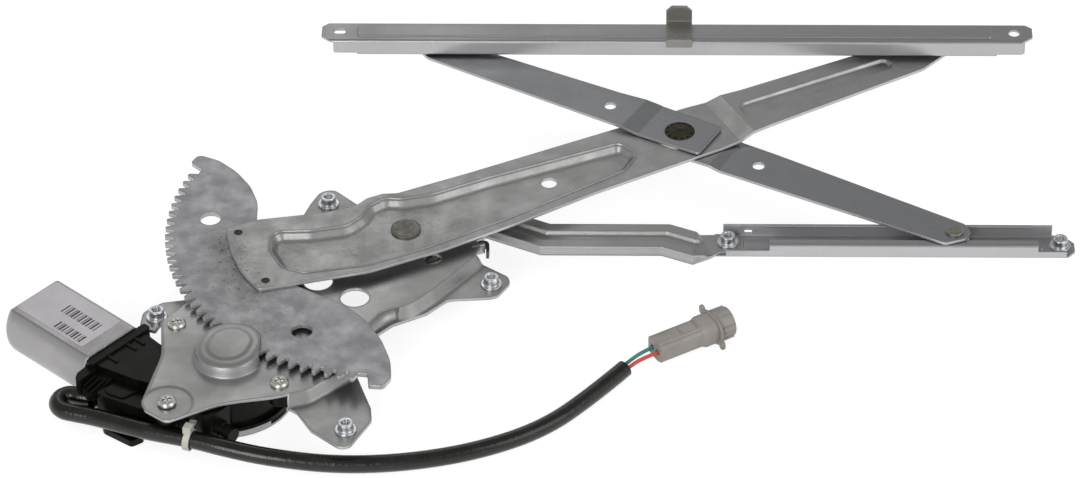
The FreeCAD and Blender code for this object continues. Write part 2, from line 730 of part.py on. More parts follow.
def make_hub():
    """Splined hub that clamps both cross arm halves and turns in the lift arm."""
    gauge = size("arm_gauge")
    gap = size("arm_gap")
    head = size("hub_head")
    journal = size("hub_radius")
    profile = [(0, LOWER_FLOOR - 0.6), (head - 0.8, LOWER_FLOOR - 0.6), (head, LOWER_FLOOR),
               (head, LOWER_TOP), (journal, LOWER_TOP), (journal, UPPER_FLOOR), (head, UPPER_FLOOR),
               (head, UPPER_FLOOR + gauge), (head - 0.8, UPPER_FLOOR + gauge + 0.5),
               (0, UPPER_FLOOR + gauge + 0.5)]
    outline = [Vector(r, 0, z) for r, z in profile + profile[:1]]
    hub = Part.Face(Part.makePolygon(outline)).revolve(Vector(0, 0, 0), Vector(0, 0, 1), 360)
    for index in range(12):
        angle = math.radians(30 * index + 9)
        notch = Vector((head - 1.4) * math.cos(angle), (head - 1.4) * math.sin(angle), 0)
        hub = hub.cut(disc(0.9, UPPER_FLOOR + gauge - 0.3, UPPER_FLOOR + gauge + 1, notch))
    hub = hub.cut(disc(1.5, UPPER_FLOOR + gauge - 0.1, UPPER_FLOOR + gauge + 1))
    feature("centre_hub", moved(hub, HUB))
    clear = journal + size("running_gap")
    washers = [disc(16, LOWER_TOP, LOWER_TOP + gap - 0.05, HUB).cut(disc(clear, 0, 40, HUB)),
               disc(16, ARM_TOP + 0.05, UPPER_FLOOR, HUB).cut(disc(clear, 0, 40, HUB))]
    feature("hub_washers", Part.Compound(washers))


def stud_profile(bottom, seat_low, seat_high, top, head_below):
    """Shouldered stud: a head beyond the arm, a journal through the roller."""
    radius = size("stud_radius")
    head = size("stud_head")
    thick = size("stud_head_height")
    if head_below:
        return [(0, seat_low - thick), (head - 0.6, seat_low - thick), (head, seat_low - 0.5),
                (head, seat_low), (radius, seat_low), (radius, top), (0, top)]
    return [(0, bottom), (radius, bottom), (radius, seat_high), (head, seat_high),
            (head, seat_high + thick - 0.5), (head - 0.6, seat_high + thick), (0, seat_high + thick)]


def roller_levels():
    """Lower and upper faces of the channel rollers and of the rail roller."""
    gap = size("roller_end_gap")
    channel_low = CHANNEL_FLOOR + size("channel_gauge") + gap
    channel_high = size("channel_top") - size("channel_gauge") - gap
    rail_low = size("rail_gauge") + size("rail_bead") + gap / 2
    rail_high = size("rail_depth") - size("rail_gauge") - gap / 2
    return channel_low, channel_high, rail_low, rail_high


def make_studs_and_rollers():
    """Studs riveted in the arm ends and the nylon rollers that turn on them."""
    gauge = size("arm_gauge")
    channel_low, channel_high, rail_low, rail_high = roller_levels()
    lift_floor = GEAR_TOP + size("lift_rise")
    upper_floor = UPPER_FLOOR + size("upper_rise")
    lower_floor = LOWER_FLOOR - size("lower_drop")
    turned("lift_stud", stud_profile(0, lift_floor, 0, channel_high, True), LIFT_STUD)
    turned("upper_stud", stud_profile(0, upper_floor, 0, channel_high, True), UPPER_STUD)
    turned("rail_stud", stud_profile(rail_low, 0, lower_floor + gauge, 0, False), RAIL_STUD)
    bore = size("stud_radius") + size("running_gap")
    channel_radius = size("channel_width") / 2 - size("channel_gauge") - size("roller_gap")
    rail_radius = size("rail_width") / 2 - size("rail_gauge") - size("roller_gap")

    def roller(name, radius, low, high, centre):
        profile = [(bore, low), (radius - 0.6, low), (radius, low + 0.6), (radius, high - 0.6),
                   (radius - 0.6, high), (bore, high)]
        turned(name, profile, centre)

    roller("lift_roller", channel_radius, channel_low, channel_high, LIFT_STUD)
    roller("upper_roller", channel_radius, channel_low, channel_high, UPPER_STUD)
    roller("rail_roller", rail_radius, rail_low, rail_high, RAIL_STUD)


def make_pivot():
    """Main pivot: pin riveted in the lift arm, running in a bush staked in the base plate."""
    pin = size("pin_radius")
    tail = size("pin_tail")
    head = size("pin_head")
    high = ARM_DIP_TOP + size("pin_head_height")
    low = PLATE_UNDER - 0.6
    profile = [(0, 1.0), (tail - 0.5, 1.0), (tail, 1.5), (tail, low), (pin, low), (pin, ARM_DIP_TOP),
               (head, ARM_DIP_TOP), (head, high - 0.7), (head - 1.2, high), (2.2, high),
               (1.4, high - 0.5), (0, high - 0.5)]
    face = Part.Face(Part.makePolygon([Vector(r, 0, z) for r, z in profile + profile[:1]]))
    pivot = face.revolve(Vector(0, 0, 0), Vector(0, 0, 1), 360)
    slot = size("spring_strip") + 0.4
    pivot = pivot.cut(Part.makeBox(2 * tail + 2, slot, low, Vector(-tail - 1, -slot / 2, 0)))
    feature("pivot_pin", pivot)
    bore = pin + size("running_gap")
    top = size("plateau_height")
    bush = [(bore, PLATE_UNDER - 0.5), (size("bush_radius") + 1.2, PLATE_UNDER - 0.5),
            (size("bush_radius") + 1.2, PLATE_UNDER), (size("bush_radius"), PLATE_UNDER),
            (size("bush_radius"), top), (size("bush_flange"), top),
            (size("bush_flange"), ARM_DIP_FLOOR - 0.1), (bore, ARM_DIP_FLOOR - 0.1)]
    turned("pivot_bush", bush, Vector(0, 0, 0))


def make_assist_spring():
    """Flat strip spiral under the plateau, from the slotted pin to the tab of the plate."""
    strip = size("spring_strip")
    low = 1.7
    high = low + size("spring_width")
    turns = size("spring_turns")
    inner = size("spring_inner")
    outer = size("spring_outer")
    start = 0.0
    steps = int(turns * 20)

    def ribbon(centreline):
        left = []
        right = []
        for index, point in enumerate(centreline):
            before = centreline[max(index - 1, 0)]
            after = centreline[min(index + 1, len(centreline) - 1)]
            along = Vector(after[0] - before[0], after[1] - before[1], 0)
            along.normalize()
            across = Vector(-along.y, along.x, 0) * (strip / 2)
            left.append((point[0] + across.x, point[1] + across.y))
            right.append((point[0] - across.x, point[1] - across.y))
        return prism(left + right[::-1], low, high)

    line = [(size("pin_tail") - 3.0, 0.0), (size("pin_tail") + 0.2, 0.0), (inner - 0.9, 0.7)]
    for step in range(1, steps + 1):
        share = step / steps
        angle = start + 2 * math.pi * turns * share
        radius = inner + (outer - inner) * share
        line.append((radius * math.cos(angle), radius * math.sin(angle)))
    line += [(44.0, -6.0), (46.6, -4.4), (48.6, -4.0), (50.3, -4.9), (51.2, -6.8), (51.4, -9.5),
             (51.2, -15.0)]
    return feature("assist_spring", ribbon(line))


# Glass channel, rail and support bar


def section_points(width, depth, gauge, lips, up):
    """C section in the (Y, Z) plane with round bends, web at zero, open upwards or downwards."""
    half = width / 2
    side = 1 if up else -1
    front, back = lips
    bend = size("bend_radius")
    tight = bend - gauge
    outer = [(-half + front, depth, 0), (-half, depth, bend), (-half, 0, bend), (half, 0, bend),
             (half, depth, bend), (half - back, depth, 0)]
    inner = [(half - back, depth - gauge, 0), (half - gauge, depth - gauge, tight),
             (half - gauge, gauge, tight), (-half + gauge, gauge, tight),
             (-half + gauge, depth - gauge, tight), (-half + front, depth - gauge, 0)]
    return [(y, side * z, corner) for y, z, corner in outer + inner]


def make_glass_channel():
    """C section channel with a raised panel, a slot at one end and a hole at the other."""
    left = size("channel_left")
    right = size("channel_right")
    gauge = size("channel_gauge")
    half = size("channel_width") / 2
    depth = size("channel_depth")
    body = new_body("glass_channel")
    lips = (size("channel_lip"), size("channel_lip"))
    profile = section_points(size("channel_width"), depth, gauge, lips, False)
    sketch = add_sketch(body, "channel_section", "YZ_Plane", polygon(profile), "Sizes.channel_left")
    add_pad(body, "channel_length", sketch, "Sizes.channel_right - Sizes.channel_left")
    # The flanges stop short of both ends in two steps
    steps = []
    for end, side, start in ((left, 1, 7.8), (right, -1, 3.6)):
        points = [(end - side, -gauge - 0.01), (end + side * start, -gauge - 0.01),
                  (end + side * start, -depth * 0.82, 1.5), (end + side * 22.8, -depth * 0.82),
                  (end + side * 24.0, -depth - 1), (end - side, -depth - 1)]
        steps += polygon(points)
    notch = add_sketch(body, "channel_steps", "XZ_Plane", steps)
    add_pocket(body, "channel_step_cut", notch)
    # At both ends the back flange is cut away to the web
    back = []
    for end, side in ((left, 1), (right, -1)):
        low, high = sorted((end - side, end + side * 20.0))
        back += polygon([(low, half - gauge), (high, half - gauge), (high, half + 1), (low, half + 1)])
    add_cut_down(body, "channel_back_cut", add_sketch(body, "channel_back_ends", "XY_Plane", back,
                 "-Sizes.channel_gauge - 0.2"), "Sizes.channel_depth")
    corners = polygon([(left - 1, -half - 1), (left + 7, -half - 1), (left, -half + 5), (left, half - 5),
                       (left + 7, half + 1), (left - 1, half + 1)])
    corners += polygon([(right + 1, -half - 1), (right - 8, -half - 1), (right, -half + 6),
                        (right, half - 5), (right - 7, half + 1), (right + 1, half + 1)])
    add_pocket(body, "channel_end_cut", add_sketch(body, "channel_ends", "XY_Plane", corners))
    panel = polygon([(left + 23, -6.2, 2.5), (right - 26, -6.2, 2.5), (right - 26, 6.2, 2.5),
                     (left + 23, 6.2, 2.5)])
    raised = add_pad(body, "channel_raised_panel", add_sketch(body, "channel_panel", "XY_Plane", panel),
                     "Sizes.panel_rise")
    raised.TaperAngle = -40
    slot_half = (size("channel_slot_length") - 2 * size("channel_slot_radius")) / 2
    slot_radius = size("channel_slot_radius")
    slot_x = size("channel_slot_x")
    slot = rounded_curves([
        (slot_x - slot_half - slot_radius, -slot_radius, slot_radius * 0.98),
        (slot_x + slot_half + slot_radius, -slot_radius, slot_radius * 0.98),
        (slot_x + slot_half + slot_radius, slot_radius, slot_radius * 0.98),
        (slot_x - slot_half - slot_radius, slot_radius, slot_radius * 0.98)])
    holes = slot + circle(size("channel_hole"), size("channel_hole_x"), 0)
    add_pocket(body, "channel_hole_cut", add_sketch(body, "channel_holes", "XY_Plane", holes))
    body.Placement = Placement(Vector(0, LIFT_STUD.y, 0), Rotation())
    body.setExpression("Placement.Base.z", "Sizes.channel_top")
    return keep(body, "glass_channel")


def make_channel_clip():
    """Folded clip over the channel web with an upright tab at the back."""
    gauge = size("clip_gauge")
    half = size("channel_width") / 2
    width = size("clip_width")
    seat = size("channel_top") + size("panel_rise")
    height = size("clip_height")
    side = [(-half - gauge, -4.0), (-half - gauge, gauge), (half - 1.0, gauge), (half - 1.0, height),
            (half - 1.0 + gauge, height), (half - 1.0 + gauge, 0), (-half, 0), (-half, -4.0)]
    side = [(y, z + (0 if z >= 0 else -size("panel_rise"))) for y, z in side]
    face = Part.Face(Part.makePolygon([Vector(0, y, z) for y, z in side + side[:1]]))
    clip = face.extrude(Vector(width, 0, 0))
    front = [(0, height + 1), (0, height - 3.5), (3.5, height), (width - 3.5, height),
             (width, height - 3.5), (width, height + 1)]
    trim = Part.Face(Part.makePolygon([Vector(x, 0, z) for x, z in front + front[:1]]))
    clip = clip.cut(trim.extrude(Vector(0, 40, 0)))
    for x in (width * 0.25, width * 0.75):
        clip = clip.cut(disc(0.8, gauge / 2, gauge + 1, Vector(x, -half + 4, 0)))
    place = Vector(size("clip_x") - width / 2, LIFT_STUD.y, seat)
    return feature("channel_clip", clip, Placement(place, Rotation()))


RAIL_LEFT = size("rail_nut_left") - size("rail_margin_left")
RAIL_RIGHT = size("rail_nut_right") + size("rail_margin_right")


def make_rail():
    """Equalizer rail: C section open upwards, with low flanges and a nut at each end."""
    half = size("rail_width") / 2
    gauge = size("rail_gauge")
    body = new_body("equalizer_rail")
    lips = (size("rail_lip_front"), size("rail_lip_back"))
    profile = section_points(size("rail_width"), size("rail_depth"), gauge, lips, True)
    sketch = add_sketch(body, "rail_section", "YZ_Plane", polygon(profile),
                        "Sizes.rail_nut_left - Sizes.rail_margin_left")
    add_pad(body, "rail_length", sketch,
            "Sizes.rail_nut_right + Sizes.rail_margin_right - Sizes.rail_nut_left + Sizes.rail_margin_left")

    def both_ends(name, left_reach, right_reach, front, back, depth):
        """Cut both ends down by one depth, from the top of the flanges."""
        cuts = []
        for low, high in ((RAIL_LEFT - 1, RAIL_LEFT + left_reach), (RAIL_RIGHT - right_reach, RAIL_RIGHT + 1)):
            cuts += polygon([(low, front), (high, front), (high, back), (low, back)])
        add_cut_down(body, name + "_cut", add_sketch(body, name, "XY_Plane", cuts, "Sizes.rail_depth"), depth)

    both_ends("back_lip_ends", 35.3, 26.0, 1.0, half - gauge, "Sizes.rail_gauge + 0.4")
    both_ends("front_flange_ends", 37.3, 23.3, -half - 1, 0.5, "Sizes.rail_depth - Sizes.rail_low_flange")
    both_ends("back_corner_ends", 8.7, 13.6, half - size("bend_radius"), half + 1,
              "Sizes.rail_depth - Sizes.rail_gauge")
    both_ends("front_corner_ends", 10.2, 5.5, -half - 1, -half + size("bend_radius"),
              "Sizes.rail_depth - Sizes.rail_gauge")
    corners = polygon([(RAIL_LEFT - 1, -half - 1), (RAIL_LEFT + 5, -half - 1), (RAIL_LEFT, -half + 4),
                       (RAIL_LEFT, half - 4), (RAIL_LEFT + 5, half + 1), (RAIL_LEFT - 1, half + 1)])
    corners += polygon([(RAIL_RIGHT + 1, -half - 1), (RAIL_RIGHT - 6, -half - 1), (RAIL_RIGHT, -half + 6),
                        (RAIL_RIGHT, half - 8), (RAIL_RIGHT - 8, half + 1), (RAIL_RIGHT + 1, half + 1)])
    add_pocket(body, "rail_corner_cut", add_sketch(body, "rail_corners", "XY_Plane", corners))
    bead = polygon([(RAIL_LEFT + 21, -4.0, 2), (RAIL_RIGHT - 19, -4.0, 2), (RAIL_RIGHT - 19, 4.6, 2),
                    (RAIL_LEFT + 21, 4.6, 2)])
    raised = add_pad(body, "rail_bead", add_sketch(body, "rail_bead_outline", "XY_Plane", bead,
                     "Sizes.rail_gauge"), "Sizes.rail_bead")
    raised.TaperAngle = -35
    holes = circle(size("bolt_clear"), size("rail_nut_left"), 0)
    holes += circle(size("bolt_clear"), size("rail_nut_right"), 0)
    add_pocket(body, "rail_hole_cut", add_sketch(body, "rail_holes", "XY_Plane", holes))
    window = polygon([(RAIL_LEFT + 22, 3.2), (RAIL_LEFT + 26.6, 3.2), (RAIL_LEFT + 26.6, 6.2),
                      (RAIL_LEFT + 22, 6.2)])
    sketch = add_sketch(body, "rail_window", "XZ_Plane", window, "-Sizes.rail_width / 2 - 1")
    add_cut_down(body, "rail_window_cut", sketch, "Sizes.rail_gauge + 2", True)
    return keep(body, "equalizer_rail")


def bar_section():
    """Two ridges with a groove between, as (across, top height) points."""
    half = size("bar_width") / 2
    high = size("bar_height")
    groove = high - 2.4
    return [(-half, size("bar_gauge")), (-half + 1.6, high), (-4.6, high), (-2.8, groove),
            (2.8, groove), (4.6, high), (half - 1.6, high), (half, size("bar_gauge"))]


def make_support_bar():
    """Ribbed bar from the base plate to the rail, with flat ends."""
    gauge = size("bar_gauge")
    plate = size("plate_gauge")
    seat = size("rail_gauge")
    nut_x = size("rail_nut_left")
    fit = (size("rail_width") / 2 - size("rail_gauge") - 0.9) / (size("bar_width") / 2)
    nodes = [(33.0, 30.8, plate, 0.74), (40.0, 27.2, plate, 0.74), (48, 23.2, None, 1.0),
             (57.6, 17.9, None, 1.0), (87, 3.6, None, 1.0), (162, 3.6, None, 1.0),
             (nut_x - 20.5, -4.6, None, 1.0), (nut_x - 13.5, -3.0, seat, 0.86), (nut_x - 6.5, -0.5, seat, fit),
             (nut_x + 7.6, 0, seat, fit)]
    sections = []
    for index, (x, y, flat, narrow) in enumerate(nodes):
        before = nodes[max(index - 1, 0)]
        after = nodes[min(index + 1, len(nodes) - 1)]
        first = Vector(x - before[0], y - before[1], 0)
        second = Vector(after[0] - x, after[1] - y, 0)
        first = second if first.Length < 1e-6 else first
        second = first if second.Length < 1e-6 else second
        first.normalize()
        second.normalize()
        across = Vector(-first.y - second.y, first.x + second.x, 0)
        across = across * (2 / across.Length ** 2)
        top = []
        bottom = []
        for offset, height in bar_section():
            level = height if flat is None else flat + gauge
            place = Vector(x, y, 0) + across * (offset * narrow)
            top.append(place + Vector(0, 0, level))
            bottom.append(place + Vector(0, 0, level - gauge))
        loop = top + bottom[::-1]
        sections.append(Part.makePolygon(loop + loop[:1]))
    bar = Part.makeLoft(sections, True, True)
    bar = bar.cut(disc(size("bolt_clear"), 0, 10, Vector(nut_x, 0, 0)))
    return feature("support_bar", bar)


# Gearbox and motor, built about the pinion axis with X towards the motor


def make_gearbox():
    """Moulded housing, bottom lid and the screws through the base plate."""
    floor = size("housing_floor")
    top = PLATE_UNDER
    level = size("drive_level")
    half = size("wheel_width") / 2
    drum = size("drum_radius")
    start = size("can_start")
    rib = 2.0
    body = disc(drum, floor + size("lid_gauge"), top)
    body = body.fuse(disc(size("lid_radius"), floor + size("lid_gauge"), floor + 6))
    bore = size("worm_radius") + 1.9
    tunnel = [(-31, WORM_OFFSET - 12, 5), (34, WORM_OFFSET - 20, 4), (start - 5, WORM_OFFSET - 22, 3),
              (start - 5, WORM_OFFSET + 19, 3), (30, WORM_OFFSET + 13, 10), (20, WORM_OFFSET + 9.3, 10),
              (-31, WORM_OFFSET + 9.3, 6)]
    body = body.fuse(prism(tunnel, level - bore - 2.0, top - 1.5))
    arms = [(-5, WORM_OFFSET, 0), (10, WORM_OFFSET, 0), (2, 55, 0), (-12, 55, 0)]
    body = body.fuse(prism(arms, top - 10, top))
    flange = prism([(start - 6, WORM_OFFSET - 27, 2), (start, WORM_OFFSET - 27, 2),
                    (start, WORM_OFFSET + 22, 2), (start - 6, WORM_OFFSET + 22, 2)],
                   level - size("can_flat") + 1.5, level + size("can_flat") - 1.5)
    body = body.fuse(flange)
    for place in SCREW_BOSSES:
        body = body.fuse(disc(7.5, top - 10, top, place))
    for index in range(9):
        angle = 200 + index * 22
        web = Part.makeBox(6, rib, top - floor - 6, Vector(drum - 1.5, -rib / 2, floor + 5))
        web.rotate(Vector(0, 0, 0), Vector(0, 0, 1), angle)
        body = body.fuse(web)
    boss = disc(13.5, top, size("plateau_height") + 0.3)
    body = body.fuse(boss)
    # The worm's end stop stands out of the tunnel; ribs stiffen the motor's flange
    stop = Part.makeCylinder(5.6, 4.0, Vector(-34, WORM_OFFSET, level), Vector(1, 0, 0))
    stop = stop.fuse(Part.makeCylinder(4.9, 12.0, Vector(-42, WORM_OFFSET, level), Vector(1, 0, 0)))
    body = body.fuse(stop)
    for side in (-14.0, -7.0, 8.5):
        low = prism([(start - 14, WORM_OFFSET + side - 1), (start - 4, WORM_OFFSET + side - 1),
                     (start - 4, WORM_OFFSET + side + 1), (start - 14, WORM_OFFSET + side + 1)],
                    top - 3.0, top - 0.6)
        body = body.fuse(low)
    body = body.cut(disc(WHEEL_RADIUS + 3, level - half - 0.6, level + half + 0.6))
    body = body.cut(disc(size("shaft_radius") + size("running_gap"), floor, 20))
    worm_bore = Part.makeCylinder(bore, start + 28.5, Vector(-28.5, WORM_OFFSET, level), Vector(1, 0, 0))
    body = body.cut(worm_bore)
    for place in SCREW_BOSSES:
        body = body.cut(disc(size("screw_radius"), top - 8.5, top + 1, place))
    spout = GEARBOX.inverse().multVec(GLAND)
    aim = GEARBOX.Rotation.inverted().multVec(GLAND_AIM)
    body = body.fuse(Part.makeCylinder(size("cable_radius") + 2.5, 12, spout - aim * 13, aim))
    gland = Part.makeCylinder(size("cable_radius"), 12, spout - aim * 9, aim)
    body = body.cut(gland)
    feature("gearbox_housing", body.removeSplitter(), GEARBOX)
    rim = size("lid_radius") + 0.8
    lid = disc(rim, floor, floor + size("lid_gauge"))
    lid = lid.fuse(disc(rim, floor + size("lid_gauge"), floor + 4.5).cut(
        disc(size("lid_radius") + 0.05, floor, floor + 5)))
    blocks = prism(grown(tunnel, 0.1), floor + size("lid_gauge"), floor + 8)
    for place in SCREW_BOSSES:
        blocks = blocks.fuse(disc(7.6, floor + size("lid_gauge"), floor + 8, place))
    feature("gearbox_lid", lid.cut(blocks), GEARBOX)
    screws = []
    head = size("screw_head")
    high = size("screw_head_height")
    shank = size("screw_radius") - 0.1
    for place in screw_places():
        plate = size("plateau_height")
        profile = [(0, top - 8), (shank, top - 7.2), (shank, plate), (head, plate), (head, plate + high * 0.45),
                   (head * 0.8, plate + high * 0.85), (head * 0.4, plate + high), (0, plate + high)]
        face = Part.Face(Part.makePolygon([Vector(r, 0, z) for r, z in profile + profile[:1]]))
        screw = face.revolve(Vector(0, 0, 0), Vector(0, 0, 1), 360)
        for turn in (20, 110):
            slot = Part.makeBox(6.4, 1.2, 2, Vector(-3.2, -0.6, plate + high - 1.5))
            slot.rotate(Vector(0, 0, 0), Vector(0, 0, 1), turn)
            screw = screw.cut(slot)
        screws.append(moved(screw, place))
    feature("gearbox_screws", Part.Compound(screws))


def make_output_train():
    """Worm wheel on its rubber damper, and the clip that holds the shaft."""
    level = size("drive_level")
    half = size("wheel_width") / 2
    wheel = disc(WHEEL_RADIUS - 1.3, level - half, level + half).cut(disc(18, level - 20, level + 20))
    feature("worm_wheel", wheel, GEARBOX)
    damper = disc(18, level - half + 0.3, level + half - 0.3).cut(disc(11, level - 20, level + 20))
    feature("drive_damper", damper, GEARBOX)


def can_outline(radius, flat):
    """Round section with two flats, as (across, up) points about the motor axis."""
    side = math.sqrt(radius ** 2 - flat ** 2)
    arc_right = Part.Arc(Vector(0, side, flat), Vector(0, radius, 0), Vector(0, side, -flat))
    arc_left = Part.Arc(Vector(0, -side, -flat), Vector(0, -radius, 0), Vector(0, -side, flat))
    edges = [arc_right.toShape(), Part.LineSegment(Vector(0, side, -flat), Vector(0, -side, -flat)).toShape(),
             arc_left.toShape(), Part.LineSegment(Vector(0, -side, flat), Vector(0, side, flat)).toShape()]
    return Part.Wire(edges)


def can_solid(radius, flat, start, end):
    """Flat sided cylinder along X about the motor axis."""
    solid = Part.Face(can_outline(radius, flat)).extrude(Vector(end - start, 0, 0))
    return moved(solid, Vector(start, 0, 0))


def along_motor(radius, start, end):
    """Round bar along the motor axis."""
    return Part.makeCylinder(radius, end - start, Vector(start, 0, 0), Vector(1, 0, 0))


def make_motor():
    """Can, magnets, brush plate, bearings and the armature."""
    radius = size("can_radius")
    flat = size("can_flat")
    wall = size("can_wall")
    start = size("can_start")
    end = start + size("can_length")
    axis = Placement(Vector(0, WORM_OFFSET, size("drive_level")), Rotation())
    motor = GEARBOX.multiply(axis)
    outer = can_solid(radius, flat, start, end)
    rim = [edge for edge in outer.Edges if abs(edge.CenterOfMass.x - end) < 0.01]
    outer = outer.makeFillet(size("can_end_round"), rim)
    inner = can_solid(radius - wall, flat - wall, start, end - wall)
    can = outer.cut(inner).fuse(along_motor(7.5, end, end + 3.0)).cut(along_motor(5.0, end - 5, end + 1.4))
    feature("motor_can", can.removeSplitter(), motor)
    shaft = size("motor_shaft")
    core = size("armature_radius")
    gap = size("running_gap")
    bar = along_motor(shaft, -27, end + 1.0)
    worm = along_motor(size("worm_radius") - 1.2, -20, 24)
    feature("armature_shaft", bar.fuse(worm).removeSplitter(), motor)
    # The armature stands between the brushes and the far end of the can
    bars = start + size("commutator_start")
    bars_end = bars + size("commutator_length")
    wound = bars_end + size("winding_gap")
    first = wound + size("winding_front")
    last = end - size("armature_end_gap")
    hole = along_motor(shaft, 0, end + 200)
    feature("armature_core", along_motor(core, first, last).cut(hole), motor)
    ends = [along_motor(core - 2.5, wound, first), along_motor(core - 2.5, last, last + size("winding_back"))]
    feature("armature_winding", Part.Compound([item.cut(hole) for item in ends]), motor)
    feature("commutator", along_motor(7.0, bars, bars_end).cut(hole), motor)
    ring = along_motor(radius - wall - 0.1, first - 2, last + 2).cut(along_motor(core + 0.6, 0, end + 200))
    magnets = []
    for side in (-1, 1):
        box = Part.makeBox(last - first + 8, 12, 2 * flat - 2 * wall - 3,
                           Vector(first - 4, side * 15 - 6, -flat + wall + 1.5))
        magnets.append(ring.common(box))
    feature("motor_magnets", Part.Compound(magnets), motor)
    plate = can_solid(radius - wall - 0.1, flat - wall - 0.1, start + 0.2, start + 3.2)
    plate = plate.cut(along_motor(shaft + 1.0, 0, 300))
    brushes = plate
    for side in (-1, 1):
        box = Part.makeBox(7, 9, 5, Vector(start + 5, side * 12 - 4.5, -2.5))
        holder = Part.makeBox(4, 9, 5, Vector(start + 2, side * 12 - 4.5, -2.5))
        brushes = brushes.fuse(box).fuse(holder)
    brushes = brushes.cut(along_motor(7.0 + gap, start + 3.5, start + 20))
    feature("brush_plate", brushes.removeSplitter(), motor)
    rear = along_motor(5.0, end - wall, end + 1.4).cut(along_motor(shaft + gap, 0, 300))
    seat = size("worm_radius") + 1.9
    front = along_motor(seat, start - 10, start - 4).cut(along_motor(shaft + gap, 0, 300))
    tail = along_motor(seat, -28.4, -22.5).cut(along_motor(shaft + gap, -27.2, 300))
    feature("motor_bearings", Part.Compound([rear, front, tail]), motor)


# Cable


def cable_path(points):
    """Straight runs joined by arcs as large as the runs allow; prints each radius."""
    edges = []
    last = points[0]
    for index in range(1, len(points) - 1):
        corner = points[index]
        back = points[index - 1] - corner
        ahead = points[index + 1] - corner
        run = min(back.Length, ahead.Length)
        back.normalize()
        ahead.normalize()
        turn = math.pi - back.getAngle(ahead)
        setback = 0.45 * run
        radius = setback / math.tan(turn / 2)
        print("cable corner %d turns %.0f degrees at radius %.1f" % (index, math.degrees(turn), radius))
        inward = back + ahead
        inward.normalize()
        centre = corner + inward * math.sqrt(radius ** 2 + setback ** 2)
        first = corner + back * setback
        second = corner + ahead * setback
        edges.append(Part.LineSegment(last, first).toShape())
        edges.append(Part.Arc(first, centre - inward * radius, second).toShape())
        last = second
    edges.append(Part.LineSegment(last, points[-1]).toShape())
    return Part.Wire(edges)


def cable_tube(points, radius):
    """A plain round cable along its route."""
    path = cable_path(points)
    heading = points[1] - points[0]
    profile = Part.Wire([Part.Circle(points[0], heading, radius).toShape()])
    tube = path.makePipeShell([profile], True, False)
    print("cable length %.1f, volume ratio %.4f" % (
        path.Length, tube.Volume / (math.pi * radius ** 2 * path.Length)))
    return tube


FLOOR = size("drive_level") - size("can_flat")
CABLE_LEVEL = FLOOR + size("cable_radius")
GLAND = GEARBOX.multVec(Vector(52, 61.5, size("drive_level") - 5))
GLAND_TURN = math.radians(210)
GLAND_AIM = Vector(math.cos(GLAND_TURN), math.sin(GLAND_TURN), 0)
CONNECTOR = Vector(155.5, -86.0, FLOOR + 10.6)


def cable_points():
    """Route of the sleeve, chosen by hand along the photograph."""
    level = CABLE_LEVEL
    return [GLAND + GLAND_AIM * 3.0, Vector(-195.4, -140.5, level + 5.5), Vector(-197.0, -149.5, level + 5.5),
            Vector(-190.5, -156.5, level + 5.5), Vector(-174, -160, level + 6), Vector(-148, -169.5, level + 8),
            Vector(-122, -177, level + 9.5), Vector(-84, -190, level + 4), Vector(-38, -192, level + 0.5),
            Vector(8, -187, level),
            Vector(50, -176, level), Vector(88, -156, level), Vector(116, -126, level),
            Vector(137, -100, level + 1.5)]


def make_cable():
    """Grommet, sleeve, tie, two wires and the connector."""
    radius = size("cable_radius")
    points = cable_points()
    aim = GLAND_AIM
    grommet = Part.makeCylinder(radius - 0.05, 9, GLAND - aim * 9.0, aim).fuse(
        Part.makeCylinder(radius + 1.8, 3.0, GLAND, aim))
    feature("cable_grommet", grommet.removeSplitter())
    end = points[-1]
    tail_aim = end - points[-2]
    tail_aim.normalize()
    sleeve = cable_tube(points, radius)
    sleeve = sleeve.cut(Part.makeCylinder(radius - 1.1, 20, end - tail_aim * 12, tail_aim))
    feature("cable_sleeve", sleeve)
    # The tie sits on the middle of the bend next to the housing
    back = points[5] - points[6]
    ahead = points[7] - points[6]
    setback = 0.45 * min(back.Length, ahead.Length)
    back.normalize()
    ahead.normalize()
    bend = setback / math.tan((math.pi - back.getAngle(ahead)) / 2)
    inward = back + ahead
    inward.normalize()
    middle = points[6] + inward * (math.sqrt(bend ** 2 + setback ** 2) - bend)
    along = ahead - back
    along.normalize()
    tie = Part.makeCylinder(radius + 1.4, 4.0, middle - along * 2.0, along).cut(
        Part.makeCylinder(radius + 0.3, 6.0, middle - along * 3.0, along))
    across = Vector(-along.y, along.x, 0)
    lock = Part.makeBox(5.0, 5.6, 4.6, Vector(-2.5, -2.8, radius + 0.6))
    lock.rotate(Vector(0, 0, 0), Vector(0, 0, 1), math.degrees(math.atan2(along.y, along.x)))
    end_strip = Part.makeBox(4.0, 7.0, 1.2, Vector(-2.0, 1.0, radius + 1.4))
    end_strip.rotate(Vector(0, 0, 0), Vector(0, 0, 1), math.degrees(math.atan2(along.y, along.x)))
    tie = tie.fuse(moved(lock, middle)).fuse(moved(end_strip, middle + across))
    feature("cable_tie", tie.cut(Part.makeCylinder(radius + 0.3, 6.0, middle - along * 3.0, along)))
    place = Placement(CONNECTOR, Rotation(Vector(0, 0, 1), size("connector_turn")))
    wires = (("cable_wire_green", 1.9, 2.6, 0.6), ("cable_wire_red", -1.9, -3.4, 1.6))
    for name, start_side, end_side, lift in wires:
        side = Vector(-tail_aim.y, tail_aim.x, 0)
        first = end - tail_aim * 11.5 + side * start_side
        second = end + tail_aim * 3.0 + side * start_side + Vector(0, 0, lift)
        third = place.multVec(Vector(-5.0, end_side, 0.4))
        fourth = place.multVec(Vector(11.0, end_side, 0))
        feature(name, cable_tube([first, second, third, fourth], size("wire_radius")))


